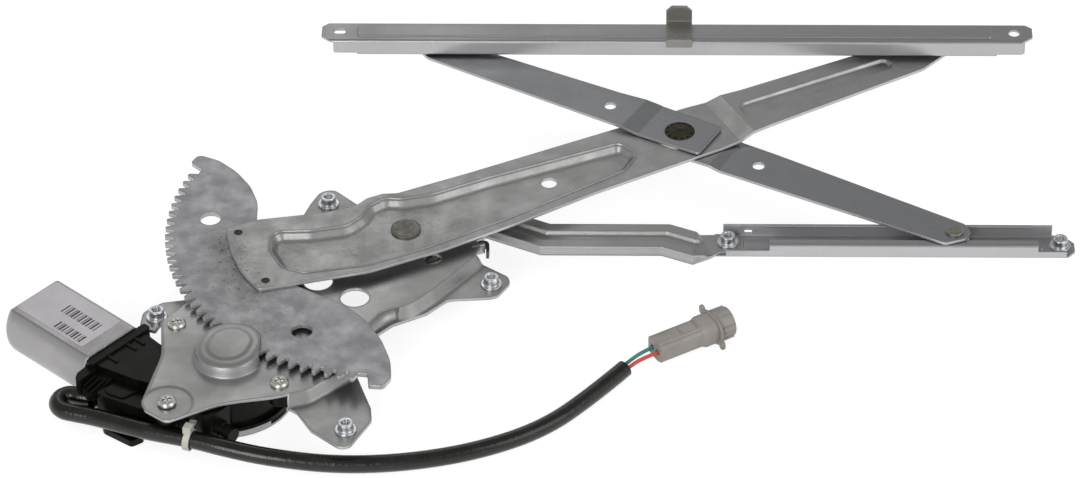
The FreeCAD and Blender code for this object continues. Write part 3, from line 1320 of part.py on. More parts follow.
def bar_points(width, height, corner):
    """Section of a bar before it is laid along X."""
    half = width / 2
    rise = height / 2
    return [(-rise, -half, corner), (rise, -half, corner), (rise, half, corner), (-rise, half, corner)]


def rounded_taper(sections, start, end):
    """A bar along X that changes from one rounded section to another."""
    bar = drafted([(bar_points(*sections[0]), 0), (bar_points(*sections[1]), end - start)])
    bar.rotate(Vector(0, 0, 0), Vector(0, 1, 0), 90)
    return moved(bar, Vector(start, 0, 0))


def rounded_bar(width, height, corner, start, end):
    """A bar along X with rounded corners, centred on the X axis."""
    bar = prism(bar_points(width, height, corner), 0, end - start)
    bar.rotate(Vector(0, 0, 0), Vector(0, 1, 0), 90)
    return moved(bar, Vector(start, 0, 0))


def make_connector():
    """Two way connector: shell with wire cavities, flanged cap with its socket, two blades."""
    width = size("connector_width")
    height = size("connector_height")
    length = size("connector_length")
    collar = size("connector_collar")
    barrel = size("connector_barrel")
    place = Placement(CONNECTOR, Rotation(Vector(0, 0, 1), size("connector_turn")))
    shell = rounded_bar(width, height, 2.0, 0, length)
    shell = shell.fuse(rounded_bar(width - 6.4, height + 1.6, 0.8, 0, length))
    broad = (width + 4, height + 5, 6.5)
    shell = shell.fuse(rounded_taper(((width, height, 2.0), broad), length - 2.4, length + 0.6))
    shell = shell.fuse(rounded_bar(*broad, length + 0.6, length + collar))
    lock = Part.makeBox(10, 6.0, 1.2, Vector(length - 14, -3.0, height / 2 + 0.8))
    shell = shell.fuse(lock)
    for side in (-3.0, 3.0):
        shell = shell.cut(along_motor(1.9, -1, length + collar + 1).translated(Vector(0, side, 0)))
    feature("connector_shell", shell.removeSplitter(), place)
    base = length + collar
    cap = rounded_bar(width + 9, height + 6, 8.5, base, base + 1.8)
    for side in (-1, 1):
        ear = rounded_bar(4.5, 6.0, 1.8, base, base + 1.8)
        cap = cap.fuse(moved(ear, Vector(0, side * (width / 2 + 4.0), side * 6.0)))
    cap = cap.fuse(along_motor(barrel, base + 1.8, base + 12.5))
    for angle in range(0, 360, 60):
        key = Part.makeBox(9.0, 3.4, 1.4, Vector(base + 3.0, -1.7, barrel - 0.5))
        key.rotate(Vector(0, 0, 0), Vector(1, 0, 0), angle + 15)
        cap = cap.fuse(key)
    cap = cap.cut(along_motor(barrel - 1.6, base + 3.2, base + 13))
    for side in (-3.0, 3.0):
        slot = Part.makeBox(8, 2.4, 1.0, Vector(base - 1, side - 1.2, -0.5))
        cap = cap.cut(slot)
    feature("connector_cap", cap.removeSplitter(), place)
    blades = [Part.makeBox(length + collar - 4, 2.3, 0.8, Vector(12.0, side - 1.15, -0.4))
              for side in (-3.0, 3.0)]
    feature("connector_terminals", Part.Compound(blades), place)


make_base_plate()
make_weld_nuts()
make_sector_gear()
make_pinion()
make_lift_arm()
make_cross_arms()
make_hub()
make_studs_and_rollers()
make_pivot()
make_assist_spring()
make_glass_channel()
make_channel_clip()
make_rail()
make_support_bar()
make_gearbox()
make_output_train()
make_motor()
make_cable()
make_connector()

doc.recompute()

for item in doc.Objects:
    if "Invalid" in item.State or "Error" in item.State:
        raise RuntimeError("%s could not be built: %s" % (item.Label, item.State))

os.makedirs("parts", exist_ok=True)
for name, item in NODES.items():
    shape = item.Shape
    if shape.isNull() or not shape.isValid():
        raise RuntimeError("%s has no valid shape" % name)
    shape.exportStep(os.path.join("parts", name + ".step"))
print("wrote %d sub-parts" % len(NODES))
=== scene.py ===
"""Dress a scissor type power window regulator for its studio picture.

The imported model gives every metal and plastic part. This file gives each part its finish
and lays the cable and its wires as smooth curves. It adds the bare label of the motor, the
threads of the nuts, the front of the gear housing, the skirt of the base plate, the weld
pits of the gear, the floor, the lamps and the camera.
"""

import json
import logging
import math
from dataclasses import dataclass, field
from enum import Enum
from typing import Any, Sequence

import bmesh
import bpy
from mathutils import Matrix, Vector

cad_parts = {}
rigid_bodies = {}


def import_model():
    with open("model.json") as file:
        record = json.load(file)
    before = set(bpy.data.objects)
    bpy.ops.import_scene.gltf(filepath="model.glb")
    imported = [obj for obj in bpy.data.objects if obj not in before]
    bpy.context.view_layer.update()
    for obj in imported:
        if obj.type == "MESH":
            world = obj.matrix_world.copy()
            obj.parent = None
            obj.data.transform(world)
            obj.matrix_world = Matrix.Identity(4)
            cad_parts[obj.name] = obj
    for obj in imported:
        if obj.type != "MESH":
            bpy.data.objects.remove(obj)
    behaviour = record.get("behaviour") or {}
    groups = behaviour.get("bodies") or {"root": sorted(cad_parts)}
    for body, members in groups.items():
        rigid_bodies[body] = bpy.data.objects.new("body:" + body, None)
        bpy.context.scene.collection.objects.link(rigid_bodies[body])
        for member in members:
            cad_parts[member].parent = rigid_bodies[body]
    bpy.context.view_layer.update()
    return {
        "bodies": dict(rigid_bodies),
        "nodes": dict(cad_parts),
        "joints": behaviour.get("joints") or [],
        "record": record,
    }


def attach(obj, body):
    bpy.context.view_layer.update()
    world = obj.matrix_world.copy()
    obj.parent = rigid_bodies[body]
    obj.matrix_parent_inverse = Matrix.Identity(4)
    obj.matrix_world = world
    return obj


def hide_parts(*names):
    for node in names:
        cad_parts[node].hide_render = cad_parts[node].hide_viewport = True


LOG = logging.getLogger("window_regulator")
MM = 0.001
ARC_STEPS = 4
SLEEVE_DIAMETER = 11.0
FLOOR = -23.0
CABLE_LEVEL = FLOOR + SLEEVE_DIAMETER / 2
Colour = tuple[float, float, float]
Point = tuple[float, float, float]
Pair = tuple[float, float]
Spot = tuple[float, float, float, float]


class Direction(Enum):
    """The way in which rolling or brushing marks run on a sheet, as degrees from X."""

    ALONG_CHANNEL = 0.0
    ALONG_LIFT_ARM = 29.0
    ALONG_CROSS_ARM = -29.0
    ALONG_MOTOR = 138.8


class NodeSheet:
    """Lays out the nodes of one material."""

    noise_roughness: float = 0.6
    full_share: float = 0.35
    edge_samples: int = 6

    def __init__(self, name: str) -> None:
        """Start an empty material.

        Args:
            name: The name of the material.
        """
        self.material = bpy.data.materials.new(name)
        self.material.use_nodes = True
        self.tree = self.material.node_tree
        self.tree.nodes.clear()
        self.place = self.node("ShaderNodeTexCoord").outputs["Object"]

    def node(self, kind: str, links: dict[Any, Any] | None = None, **settings: Any) -> bpy.types.Node:
        """Add one node.

        Args:
            kind: The type of the node.
            links: Input names or numbers, with the value or the output that feeds each.
            settings: Properties of the node itself.

        Returns:
            The new node.
        """
        item = self.tree.nodes.new(kind)
        for key, value in settings.items():
            setattr(item, key, value)
        for key, value in (links or {}).items():
            if isinstance(value, bpy.types.NodeSocket):
                self.tree.links.new(value, item.inputs[key])
            else:
                item.inputs[key].default_value = value
        return item

    def turned(self, degrees: float, stretch: Point) -> bpy.types.NodeSocket:
        """Turn the object's own coordinates about Z and then stretch them.

        Args:
            degrees: The turn about Z.
            stretch: The scale along each of the turned axes.

        Returns:
            The changed coordinates.
        """
        links = {"Vector": self.place, "Rotation": (0.0, 0.0, -math.radians(degrees))}
        turn = self.node("ShaderNodeMapping", links)
        return self.node("ShaderNodeMapping", {"Vector": turn.outputs[0], "Scale": stretch}).outputs[0]

    def noise(self, where: bpy.types.NodeSocket, scale: float, detail: float = 4.0) -> bpy.types.NodeSocket:
        """Add fractal noise and return its value.

        Args:
            where: The coordinates.
            scale: Features per metre.
            detail: The number of finer octaves.

        Returns:
            The noise value, around one half.
        """
        links = {"Vector": where, "Scale": scale, "Detail": detail, "Roughness": self.noise_roughness}
        return self.node("ShaderNodeTexNoise", links).outputs["Fac"]

    def ramp(self, value: bpy.types.NodeSocket, low: float, high: float) -> bpy.types.NodeSocket:
        """Stretch the part of a value between two limits to run from 0 to 1."""
        links = {"Value": value, "From Min": low, "From Max": high}
        return self.node("ShaderNodeMapRange", links).outputs["Result"]

    def between(self, value: bpy.types.NodeSocket, low: float, high: float) -> bpy.types.NodeSocket:
        """Stretch a value from 0 to 1 so that it runs between two limits."""
        links = {"Value": value, "To Min": low, "To Max": high}
        return self.node("ShaderNodeMapRange", links).outputs["Result"]

    def product(self, first: Any, second: Any) -> bpy.types.NodeSocket:
        """Multiply two values."""
        return self.node("ShaderNodeMath", {0: first, 1: second}, operation="MULTIPLY").outputs[0]

    def blend(self, share: Any, first: Any, second: Any) -> bpy.types.NodeSocket:
        """Mix two colours by a share of the second.

        Args:
            share: How much of the second colour shows.
            first: The first colour.
            second: The second colour.

        Returns:
            The mixed colour.
        """
        links = {}
        for key, value in ((0, share), (6, first), (7, second)):
            links[key] = value if isinstance(value, (bpy.types.NodeSocket, float)) else (*value, 1.0)
        return self.node("ShaderNodeMix", links, data_type="RGBA").outputs[2]

    def near_point(self, centre: Point, reach: float) -> bpy.types.NodeSocket:
        """Give a value of 1 round a point in plan that falls to 0 at the given reach.

        Args:
            centre: The point, in metres.
            reach: The distance at which nothing is left, in metres.

        Returns:
            The falling value.
        """
        flat = self.node("ShaderNodeMapping", {"Vector": self.place, "Scale": (1.0, 1.0, 0.0)}).outputs[0]
        middle = (centre[0], centre[1], 0.0)
        away = self.node("ShaderNodeVectorMath", {0: flat, 1: middle}, operation="DISTANCE")
        links = {"Value": away.outputs["Value"], "From Min": reach, "From Max": reach * self.full_share}
        return self.node("ShaderNodeMapRange", links).outputs["Result"]

    def bump(self, height: bpy.types.NodeSocket, strength: float, depth: float,
             rounding: float = 0.0) -> bpy.types.NodeSocket:
        """Turn a height value into a surface normal.

        Args:
            height: The height, from 0 to 1.
            strength: The share of the effect.
            depth: The real depth of the relief, in metres.
            rounding: The radius by which bends and edges look rounded, in metres.

        Returns:
            The normal.
        """
        links = {"Height": height, "Strength": strength, "Distance": depth}
        if rounding > 0.0:
            edge = self.node("ShaderNodeBevel", {"Radius": rounding}, samples=self.edge_samples)
            links["Normal"] = edge.outputs["Normal"]
        return self.node("ShaderNodeBump", links).outputs["Normal"]

    def finish(self, **inputs: Any) -> bpy.types.Material:
        """Close the material with its surface shader.

        Args:
            inputs: Shader inputs, with underscores for spaces.

        Returns:
            The finished material.
        """
        links = {}
        for key, value in inputs.items():
            if isinstance(value, tuple) and len(value) == 3:
                value = (*value, 1.0)
            links[key.replace("_", " ")] = value
        shader = self.node("ShaderNodeBsdfPrincipled", links)
        self.node("ShaderNodeOutputMaterial", {"Surface": shader.outputs[0]})
        return self.material


@dataclass(frozen=True)
class SheetMetal:
    """Zinc plated steel sheet: satin grain, clouded plating, fine scratches and handling dirt.

    Lengths are in metres and noise scales in features per metre. A band gives the noise
    values at which a mark begins and is full, a share gives how much of it shows, and a row
    of dirt gives a place in plan, its reach and its strength.
    """

    name: str
    base: Colour
    dark: Colour
    direction: Direction = Direction.ALONG_CHANNEL
    metallic: float = 0.92
    roughness: float = 0.36
    cloud: float = 22.0
    marks: float = 0.5
    brushed: float = 0.10
    rounding: float = 0.0011
    # The painted highlight on upright faces: its share, its lighter tint, the tilt band where it shows and
    # the metallic share it leaves.
    painted_upright_highlight: float = 0.42
    dirt: tuple[Spot, ...] = ()
    dirt_tint: Colour = (0.05, 0.047, 0.038)
    scratch_tint: Colour = (0.66, 0.66, 0.68)
    painted_highlight_tint: Colour = (0.72, 0.72, 0.75)
    cloud_band: Pair = (0.34, 0.66)
    cloud_share: float = 0.5
    grain_scale: float = 620.0
    grain_band: Pair = (0.3, 0.7)
    grain_share: float = 0.3
    rolling_stretch: Point = (20.0, 1100.0, 1100.0)
    rolling_band: Pair = (0.45, 0.8)
    scratch_stretch: Point = (85.0, 1900.0, 85.0)
    scratch_band: Pair = (0.70, 0.76)
    scratch_turns: tuple[Pair, ...] = ((17.0, 0.5), (71.0, 0.4), (-38.0, 0.35))
    smear_stretch: Point = (110.0, 270.0, 200.0)
    smear_band: Pair = (0.55, 0.78)
    smear_share: float = 0.6
    speck_scale: float = 520.0
    speck_band: Pair = (0.62, 0.7)
    speck_share: float = 0.8
    film_share: float = 0.22
    edge_band: Pair = (0.45, 0.15)
    edge_metallic: float = 0.35
    smoother: float = 0.05
    rougher: float = 0.10
    relief: float = 0.00005
    relief_strength: float = 0.25

    def dirty(self, sheet: NodeSheet, colour: bpy.types.NodeSocket) -> bpy.types.NodeSocket:
        """Lay greasy specks and thin smears round the places that carry them.

        Args:
            sheet: The node sheet of the metal.
            colour: The clean colour.

        Returns:
            The soiled colour.
        """
        wiped = sheet.noise(sheet.turned(self.direction.value, self.smear_stretch), 1.0, detail=6.0)
        smear = sheet.ramp(wiped, *self.smear_band)
        specks = sheet.ramp(sheet.noise(sheet.place, self.speck_scale, detail=2.0), *self.speck_band)
        for x, y, reach, share in self.dirt:
            near = sheet.near_point((x, y, 0.0), reach)
            colour = sheet.blend(sheet.product(near, share * self.film_share), colour, self.dirt_tint)
            for marks, strength in ((smear, self.smear_share), (specks, self.speck_share)):
                cover = sheet.product(sheet.product(near, marks), share * strength)
                colour = sheet.blend(cover, colour, self.dirt_tint)
        return colour

    def material(self) -> bpy.types.Material:
        """Build the metal, with a painted highlight that makes its upright faces lighter and less metallic.

        Returns:
            The material.
        """
        sheet = NodeSheet(self.name)
        clouds = sheet.ramp(sheet.noise(sheet.place, self.cloud, detail=5.0), *self.cloud_band)
        grain = sheet.ramp(sheet.noise(sheet.place, self.grain_scale, detail=3.0), *self.grain_band)
        rolled = sheet.noise(sheet.turned(self.direction.value, self.rolling_stretch), 1.0, detail=3.0)
        colour = sheet.blend(sheet.product(clouds, self.cloud_share), self.base, self.dark)
        colour = sheet.blend(sheet.product(grain, self.grain_share), colour, self.dark)
        lines = sheet.product(sheet.ramp(rolled, *self.rolling_band), self.brushed)
        colour = sheet.blend(lines, colour, self.scratch_tint)
        for turn, share in self.scratch_turns:
            across = sheet.turned(self.direction.value + turn, self.scratch_stretch)
            fine = sheet.ramp(sheet.noise(across, 1.0, detail=2.0), *self.scratch_band)
            colour = sheet.blend(sheet.product(fine, self.marks * share), colour, self.scratch_tint)
        colour = self.dirty(sheet, colour)
        # Painted highlight: upright faces are tinted lighter and made less metallic, standing in for the
        # bright reflections they catch.
        facing = sheet.node("ShaderNodeNewGeometry").outputs["True Normal"]
        upward = sheet.node("ShaderNodeSeparateXYZ", {0: facing}).outputs["Z"]
        tilt = sheet.node("ShaderNodeMath", {0: upward}, operation="ABSOLUTE").outputs[0]
        edge = sheet.product(sheet.ramp(tilt, *self.edge_band), self.painted_upright_highlight)
        colour = sheet.blend(edge, colour, self.painted_highlight_tint)
        metallic = sheet.between(edge, self.metallic, self.metallic * self.edge_metallic)
        rough = sheet.between(clouds, self.roughness - self.smoother, self.roughness + self.rougher)
        height = sheet.node("ShaderNodeMath", {0: rolled, 1: grain}, operation="ADD").outputs[0]
        normal = sheet.bump(height, self.relief_strength, self.relief, self.rounding)
        return sheet.finish(Base_Color=colour, Metallic=metallic, Roughness=rough, Normal=normal)


@dataclass(frozen=True)
class MachinedMetal:
    """Bright turned or stamped metal for nuts, pins, screws and the studs of the rollers."""

    name: str
    base: Colour
    dark: Colour
    roughness: float = 0.28
    metallic: float = 1.0
    patch_scale: float = 240.0
    patch_band: Pair = (0.35, 0.7)
    patch_share: float = 0.7
    ring_stretch: Point = (200.0, 200.0, 2600.0)
    rougher: float = 0.16
    relief: float = 0.00005
    relief_strength: float = 0.3
    rounding: float = 0.0004

    def material(self) -> bpy.types.Material:
        """Build the metal with tool marks and small dark pits.

        Returns:
            The material.
        """
        sheet = NodeSheet(self.name)
        patches = sheet.ramp(sheet.noise(sheet.place, self.patch_scale, detail=4.0), *self.patch_band)
        rings = sheet.noise(sheet.turned(0.0, self.ring_stretch), 1.0, detail=2.0)
        colour = sheet.blend(sheet.product(patches, self.patch_share), self.base, self.dark)
        rough = sheet.between(patches, self.roughness, self.roughness + self.rougher)
        normal = sheet.bump(rings, self.relief_strength, self.relief, self.rounding)
        return sheet.finish(Base_Color=colour, Metallic=self.metallic, Roughness=rough, Normal=normal)


@dataclass(frozen=True)
class MouldedPlastic:
    """Moulded plastic or rubber with a fine grain and slight wear."""

    name: str
    base: Colour
    worn: Colour
    roughness: float = 0.45
    grain: float = 900.0
    depth: float = 0.00004
    specular: float = 0.4
    patch_scale: float = 60.0
    patch_band: Pair = (0.38, 0.72)
    patch_share: float = 0.8
    rougher: float = 0.14
    relief_strength: float = 0.4
    rounding: float = 0.0006

    def material(self) -> bpy.types.Material:
        """Build the plastic.

        Returns:
            The material.
        """
        sheet = NodeSheet(self.name)
        fine = sheet.noise(sheet.place, self.grain, detail=3.0)
        patches = sheet.ramp(sheet.noise(sheet.place, self.patch_scale, detail=5.0), *self.patch_band)
        colour = sheet.blend(sheet.product(patches, self.patch_share), self.base, self.worn)
        rough = sheet.between(patches, self.roughness, self.roughness + self.rougher)
        normal = sheet.bump(fine, self.relief_strength, self.depth, self.rounding)
        return sheet.finish(Base_Color=colour, Roughness=rough, Normal=normal,
                            Specular_IOR_Level=self.specular)


@dataclass(frozen=True)
class WrinkledSleeve:
    """Black sleeve of the cable, glossy and creased across its length."""

    name: str
    base: Colour
    sheen: Colour
    roughness: float = 0.3
    crease_turn: float = 10.0
    crease_stretch: Point = (420.0, 130.0, 130.0)
    crease_strength: float = 0.7
    crease_depth: float = 0.0006
    dust_scale: float = 70.0
    dust_band: Pair = (0.45, 0.8)
    dust_share: float = 0.6
    coat: float = 0.3
    coat_roughness: float = 0.12
    specular: float = 0.35

    def material(self) -> bpy.types.Material:
        """Build the sleeve with creases and a dusty lighter cast.

        Returns:
            The material.
        """
        sheet = NodeSheet(self.name)
        creases = sheet.noise(sheet.turned(self.crease_turn, self.crease_stretch), 1.0, detail=3.0)
        dust = sheet.ramp(sheet.noise(sheet.place, self.dust_scale, detail=5.0), *self.dust_band)
        colour = sheet.blend(sheet.product(dust, self.dust_share), self.base, self.sheen)
        normal = sheet.bump(creases, self.crease_strength, self.crease_depth)
        return sheet.finish(Base_Color=colour, Roughness=self.roughness, Normal=normal,
                            Coat_Weight=self.coat, Coat_Roughness=self.coat_roughness,
                            Specular_IOR_Level=self.specular)


@dataclass(frozen=True)
class Finishes:
    """Every finish of the regulator, by the CAD part that carries it."""

    own_finish: dict[str, str] = field(default_factory=lambda: {
        "cross_arm_upper": "cross_zinc", "cross_arm_lower": "cross_zinc", "pivot_pin": "pin_steel",
        "gearbox_screws": "screw_nickel"})

    def table(self) -> dict[str, Any]:
        """List the finish of each material slot.

        Returns:
            The finishes by slot name.
        """
        return {
            "arm_zinc": SheetMetal("arm_zinc", (0.40, 0.40, 0.395), (0.28, 0.28, 0.275),
                                   Direction.ALONG_LIFT_ARM, painted_upright_highlight=0.6, cloud=60.0,
                                   dirt=((0.0, 0.0, 0.055, 0.4), (-0.055, -0.03, 0.05, 0.3),
                                         (-0.110, -0.012, 0.014, 0.9), (-0.104, -0.03, 0.014, 0.9),
                                         (-0.098, -0.046, 0.014, 0.9), (-0.088, -0.062, 0.016, 0.9))),
            "cross_zinc": SheetMetal("cross_zinc", (0.31, 0.315, 0.325), (0.22, 0.225, 0.232),
                                     Direction.ALONG_CROSS_ARM, roughness=0.3),
            "gear_steel": SheetMetal("gear_steel", (0.35, 0.35, 0.36), (0.25, 0.25, 0.26),
                                     Direction.ALONG_MOTOR, marks=0.9, cloud=75.0, brushed=0.04,
                                     dirt=((-0.085, -0.095, 0.045, 0.4), (-0.112, -0.012, 0.018, 1.0),
                                           (-0.107, -0.028, 0.018, 1.0), (-0.101, -0.044, 0.018, 1.0),
                                           (-0.093, -0.061, 0.020, 1.0), (-0.104, -0.042, 0.045, 0.5))),
            "pressed_zinc": SheetMetal("pressed_zinc", (0.36, 0.36, 0.355), (0.26, 0.26, 0.255),
                                       Direction.ALONG_CHANNEL, roughness=0.34, brushed=0.04, marks=0.25,
                                       rounding=0.0016),
            "channel_zinc": SheetMetal("channel_zinc", (0.38, 0.375, 0.385), (0.28, 0.28, 0.28),
                                       Direction.ALONG_CHANNEL, roughness=0.33),
            "clip_zinc": SheetMetal("clip_zinc", (0.28, 0.27, 0.25), (0.19, 0.18, 0.165), painted_upright_highlight=0.1),
            "lid_steel": SheetMetal("lid_steel", (0.36, 0.35, 0.36), (0.25, 0.24, 0.25),
                                    roughness=0.28, painted_upright_highlight=0.0),
            "can_steel": SheetMetal("can_steel", (0.38, 0.37, 0.375), (0.29, 0.28, 0.285),
                                    Direction.ALONG_MOTOR, roughness=0.3, marks=0.15, brushed=0.05,
                                    rounding=0.002, painted_upright_highlight=0.0),
            "bright_zinc": MachinedMetal("bright_zinc", (0.66, 0.68, 0.70), (0.40, 0.41, 0.42), 0.22),
            "screw_nickel": MachinedMetal("screw_nickel", (0.70, 0.69, 0.65), (0.38, 0.37, 0.34), 0.2),
            "rivet_steel": MachinedMetal("rivet_steel", (0.30, 0.29, 0.26), (0.16, 0.15, 0.14), 0.4),
            "pin_steel": MachinedMetal("pin_steel", (0.26, 0.25, 0.225), (0.13, 0.12, 0.10), 0.42),
            "hub_olive": MachinedMetal("hub_olive", (0.075, 0.07, 0.05), (0.025, 0.023, 0.016), 0.5),
            "spring_steel": MachinedMetal("spring_steel", (0.13, 0.12, 0.11), (0.06, 0.05, 0.045), 0.35),
            "shaft_steel": MachinedMetal("shaft_steel", (0.5, 0.5, 0.51), (0.3, 0.3, 0.31)),
            "core_steel": MachinedMetal("core_steel", (0.2, 0.19, 0.18), (0.1, 0.1, 0.1), 0.45),
            "copper_wire": MachinedMetal("copper_wire", (0.55, 0.22, 0.08), (0.3, 0.1, 0.04), 0.35),
            "copper_bar": MachinedMetal("copper_bar", (0.65, 0.33, 0.18), (0.4, 0.2, 0.1), 0.3),
            "sintered_bronze": MachinedMetal("sintered_bronze", (0.4, 0.26, 0.12), (0.2, 0.13, 0.06), 0.4),
            "terminal_brass": MachinedMetal("terminal_brass", (0.6, 0.45, 0.2), (0.35, 0.25, 0.1), 0.3),
            "ferrite": MouldedPlastic("ferrite", (0.03, 0.03, 0.032), (0.05, 0.05, 0.052), 0.6),
            "black_plastic": MouldedPlastic("black_plastic", (0.003, 0.003, 0.002), (0.008, 0.0075, 0.005),
                                            0.28, grain=300.0, depth=0.0001, specular=0.12),
            "brown_plastic": MouldedPlastic("brown_plastic", (0.06, 0.03, 0.015), (0.08, 0.045, 0.02)),
            "connector_grey": MouldedPlastic("connector_grey", (0.36, 0.335, 0.315), (0.27, 0.25, 0.235),
                                             0.42),
            "tie_white": MouldedPlastic("tie_white", (0.62, 0.61, 0.55), (0.5, 0.48, 0.42), 0.4),
            "roller_nylon": MouldedPlastic("roller_nylon", (0.72, 0.69, 0.6), (0.5, 0.47, 0.4), 0.4),
            "washer_nylon": MouldedPlastic("washer_nylon", (0.68, 0.65, 0.55), (0.4, 0.38, 0.3), 0.45),
            "wheel_nylon": MouldedPlastic("wheel_nylon", (0.7, 0.67, 0.56), (0.5, 0.47, 0.4), 0.4),
            "damper_rubber": MouldedPlastic("damper_rubber", (0.01, 0.01, 0.01), (0.03, 0.03, 0.03), 0.6),
            "cable_black": WrinkledSleeve("cable_black", (0.005, 0.0045, 0.003), (0.026, 0.024, 0.017), 0.22),
            "wire_green": MouldedPlastic("wire_green", (0.045, 0.24, 0.19), (0.07, 0.3, 0.25), 0.35),
            "wire_red": MouldedPlastic("wire_red", (0.62, 0.05, 0.04), (0.75, 0.12, 0.09), 0.35),
        }

    def dress(self, frame: dict[str, Any]) -> dict[str, bpy.types.Material]:
        """Give every CAD part the finish of its material slot.

        Args:
            frame: The loaded frame.

        Returns:
            The materials by slot name.
        """
        materials = {slot: finish.material() for slot, finish in self.table().items()}
        for part in frame["record"]["subparts"]:
            item = frame["nodes"][part["node"]]
            finish = self.own_finish.get(part["node"], part["material_slot"])
            item.data.materials.clear()
            item.data.materials.append(materials[finish])
            LOG.info("dressed %s in %s", part["node"], finish)
        return materials


def beside_motor(origin: Point, along: float, across: float, up: float) -> Vector:
    """Turn a point that is measured by the motor axis into the shared frame.

    Args:
        origin: Where the measuring starts, in millimetres.
        along: The distance along the motor axis.
        across: The distance across it.
        up: The height above the origin.

    Returns:
        The point, in metres.
    """
    turn = Matrix.Rotation(math.radians(Direction.ALONG_MOTOR.value), 4, "Z")
    return (turn @ Vector((along, across, up)) + Vector(origin)) * MM


def block_faces(count: int) -> list[list[int]]:
    """List the faces of a closed block whose lower outline comes before its upper one.

    Args:
        count: The number of corners of one outline.

    Returns:
        The faces, by point number.
    """
    faces = [list(range(count))[::-1], list(range(count, 2 * count))]
    faces += [[i, (i + 1) % count, (i + 1) % count + count, i + count] for i in range(count)]
    return faces


def add_piece(name: str, points: Sequence[Vector], faces: Sequence[Sequence[int]],
              material: bpy.types.Material, body: str) -> bpy.types.Object:
    """Args:
        name: The name of the piece.
        points: Its points, in metres.
        faces: Its faces, by point number.
        material: The finish.
        body: The body on which it rides.

    Returns:
        The piece.
    """
    mesh = bpy.data.meshes.new(name)
    mesh.from_pydata(points, [], faces)
    shape = bmesh.new()
    shape.from_mesh(mesh)
    bmesh.ops.recalc_face_normals(shape, faces=shape.faces)
    shape.to_mesh(mesh)
    shape.free()
    item = bpy.data.objects.new(name, mesh)
    bpy.context.scene.collection.objects.link(item)
    item.data.materials.append(material)
    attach(item, body)
    LOG.info("added %s on the %s", name, body)
    return item


@dataclass
class CableRun:
    """The cable sleeve and its two wires, in place of the CAD parts, in millimetres."""

    sleeve_diameter: float = SLEEVE_DIAMETER
    wire_diameter: float = 2.4
    sleeve_route: list[Point] = field(default_factory=list)
    green_route: list[Point] = field(default_factory=list)
    red_route: list[Point] = field(default_factory=list)
    ring_steps: int = 6
    length_steps: int = 16

    def curve(self, name: str, route: Sequence[Point], diameter: float,
              material: bpy.types.Material) -> bpy.types.Object:
        """Lay one smooth round cable.

        Args:
            name: The name of the piece.
            route: The control points, in millimetres.
            diameter: The outer diameter, in millimetres.
            material: The finish.

        Returns:
            The curve object.
        """
        line = bpy.data.curves.new(name, "CURVE")
        line.dimensions = "3D"
        line.bevel_depth = 1.0
        line.bevel_resolution = self.ring_steps
        line.resolution_u = self.length_steps
        line.use_fill_caps = True
        spline = line.splines.new("NURBS")
        spline.points.add(len(route) - 1)
        for point, place in zip(spline.points, route):
            point.co = (place[0] * MM, place[1] * MM, place[2] * MM, 1.0)
            point.radius = diameter / 2 * MM
        spline.order_u = 3
        spline.use_endpoint_u = True
        item = bpy.data.objects.new(name, line)
        bpy.context.scene.collection.objects.link(item)
        item.data.materials.append(material)
        return item

    def length(self, item: bpy.types.Object) -> float:
        """Measure the centreline of a curve.

        Args:
            item: The curve object.

        Returns:
            Its length, in metres.
        """
        depth = item.data.bevel_depth
        item.data.bevel_depth = 0.0
        bpy.context.view_layer.update()
        mesh = bpy.data.meshes.new_from_object(item.evaluated_get(bpy.context.evaluated_depsgraph_get()))
        total = sum((mesh.vertices[edge.vertices[0]].co - mesh.vertices[edge.vertices[1]].co).length
                    for edge in mesh.edges)
        bpy.data.meshes.remove(mesh)
        item.data.bevel_depth = depth
        return total

    def build(self, frame: dict[str, Any], materials: dict[str, bpy.types.Material]) -> None:
        """Args:
            frame: The loaded frame.
            materials: The finishes by slot name.
        """
        nodes = frame["nodes"]
        sleeve = self.curve("sleeve_curve", self.sleeve_route, self.sleeve_diameter, materials["cable_black"])
        wires = [self.curve(f"{colour}_wire_curve", route, self.wire_diameter, materials[f"wire_{colour}"])
                 for colour, route in (("green", self.green_route), ("red", self.red_route))]
        for item, node, slot in ((sleeve, "cable_sleeve", "cable_black"),
                                 (wires[0], "cable_wire_green", "wire_green"),
                                 (wires[1], "cable_wire_red", "wire_red")):
            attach(item, "base")
            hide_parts(node)
            LOG.info("laid %s, %.3f m long", item.name, self.length(item))
        self.length(sleeve)
        carried = ([nodes["connector_shell"], nodes["connector_terminals"]], [nodes["connector_cap"]])
        for item, route, pieces in zip(wires, (self.green_route, self.red_route), carried):
            self.length(item)


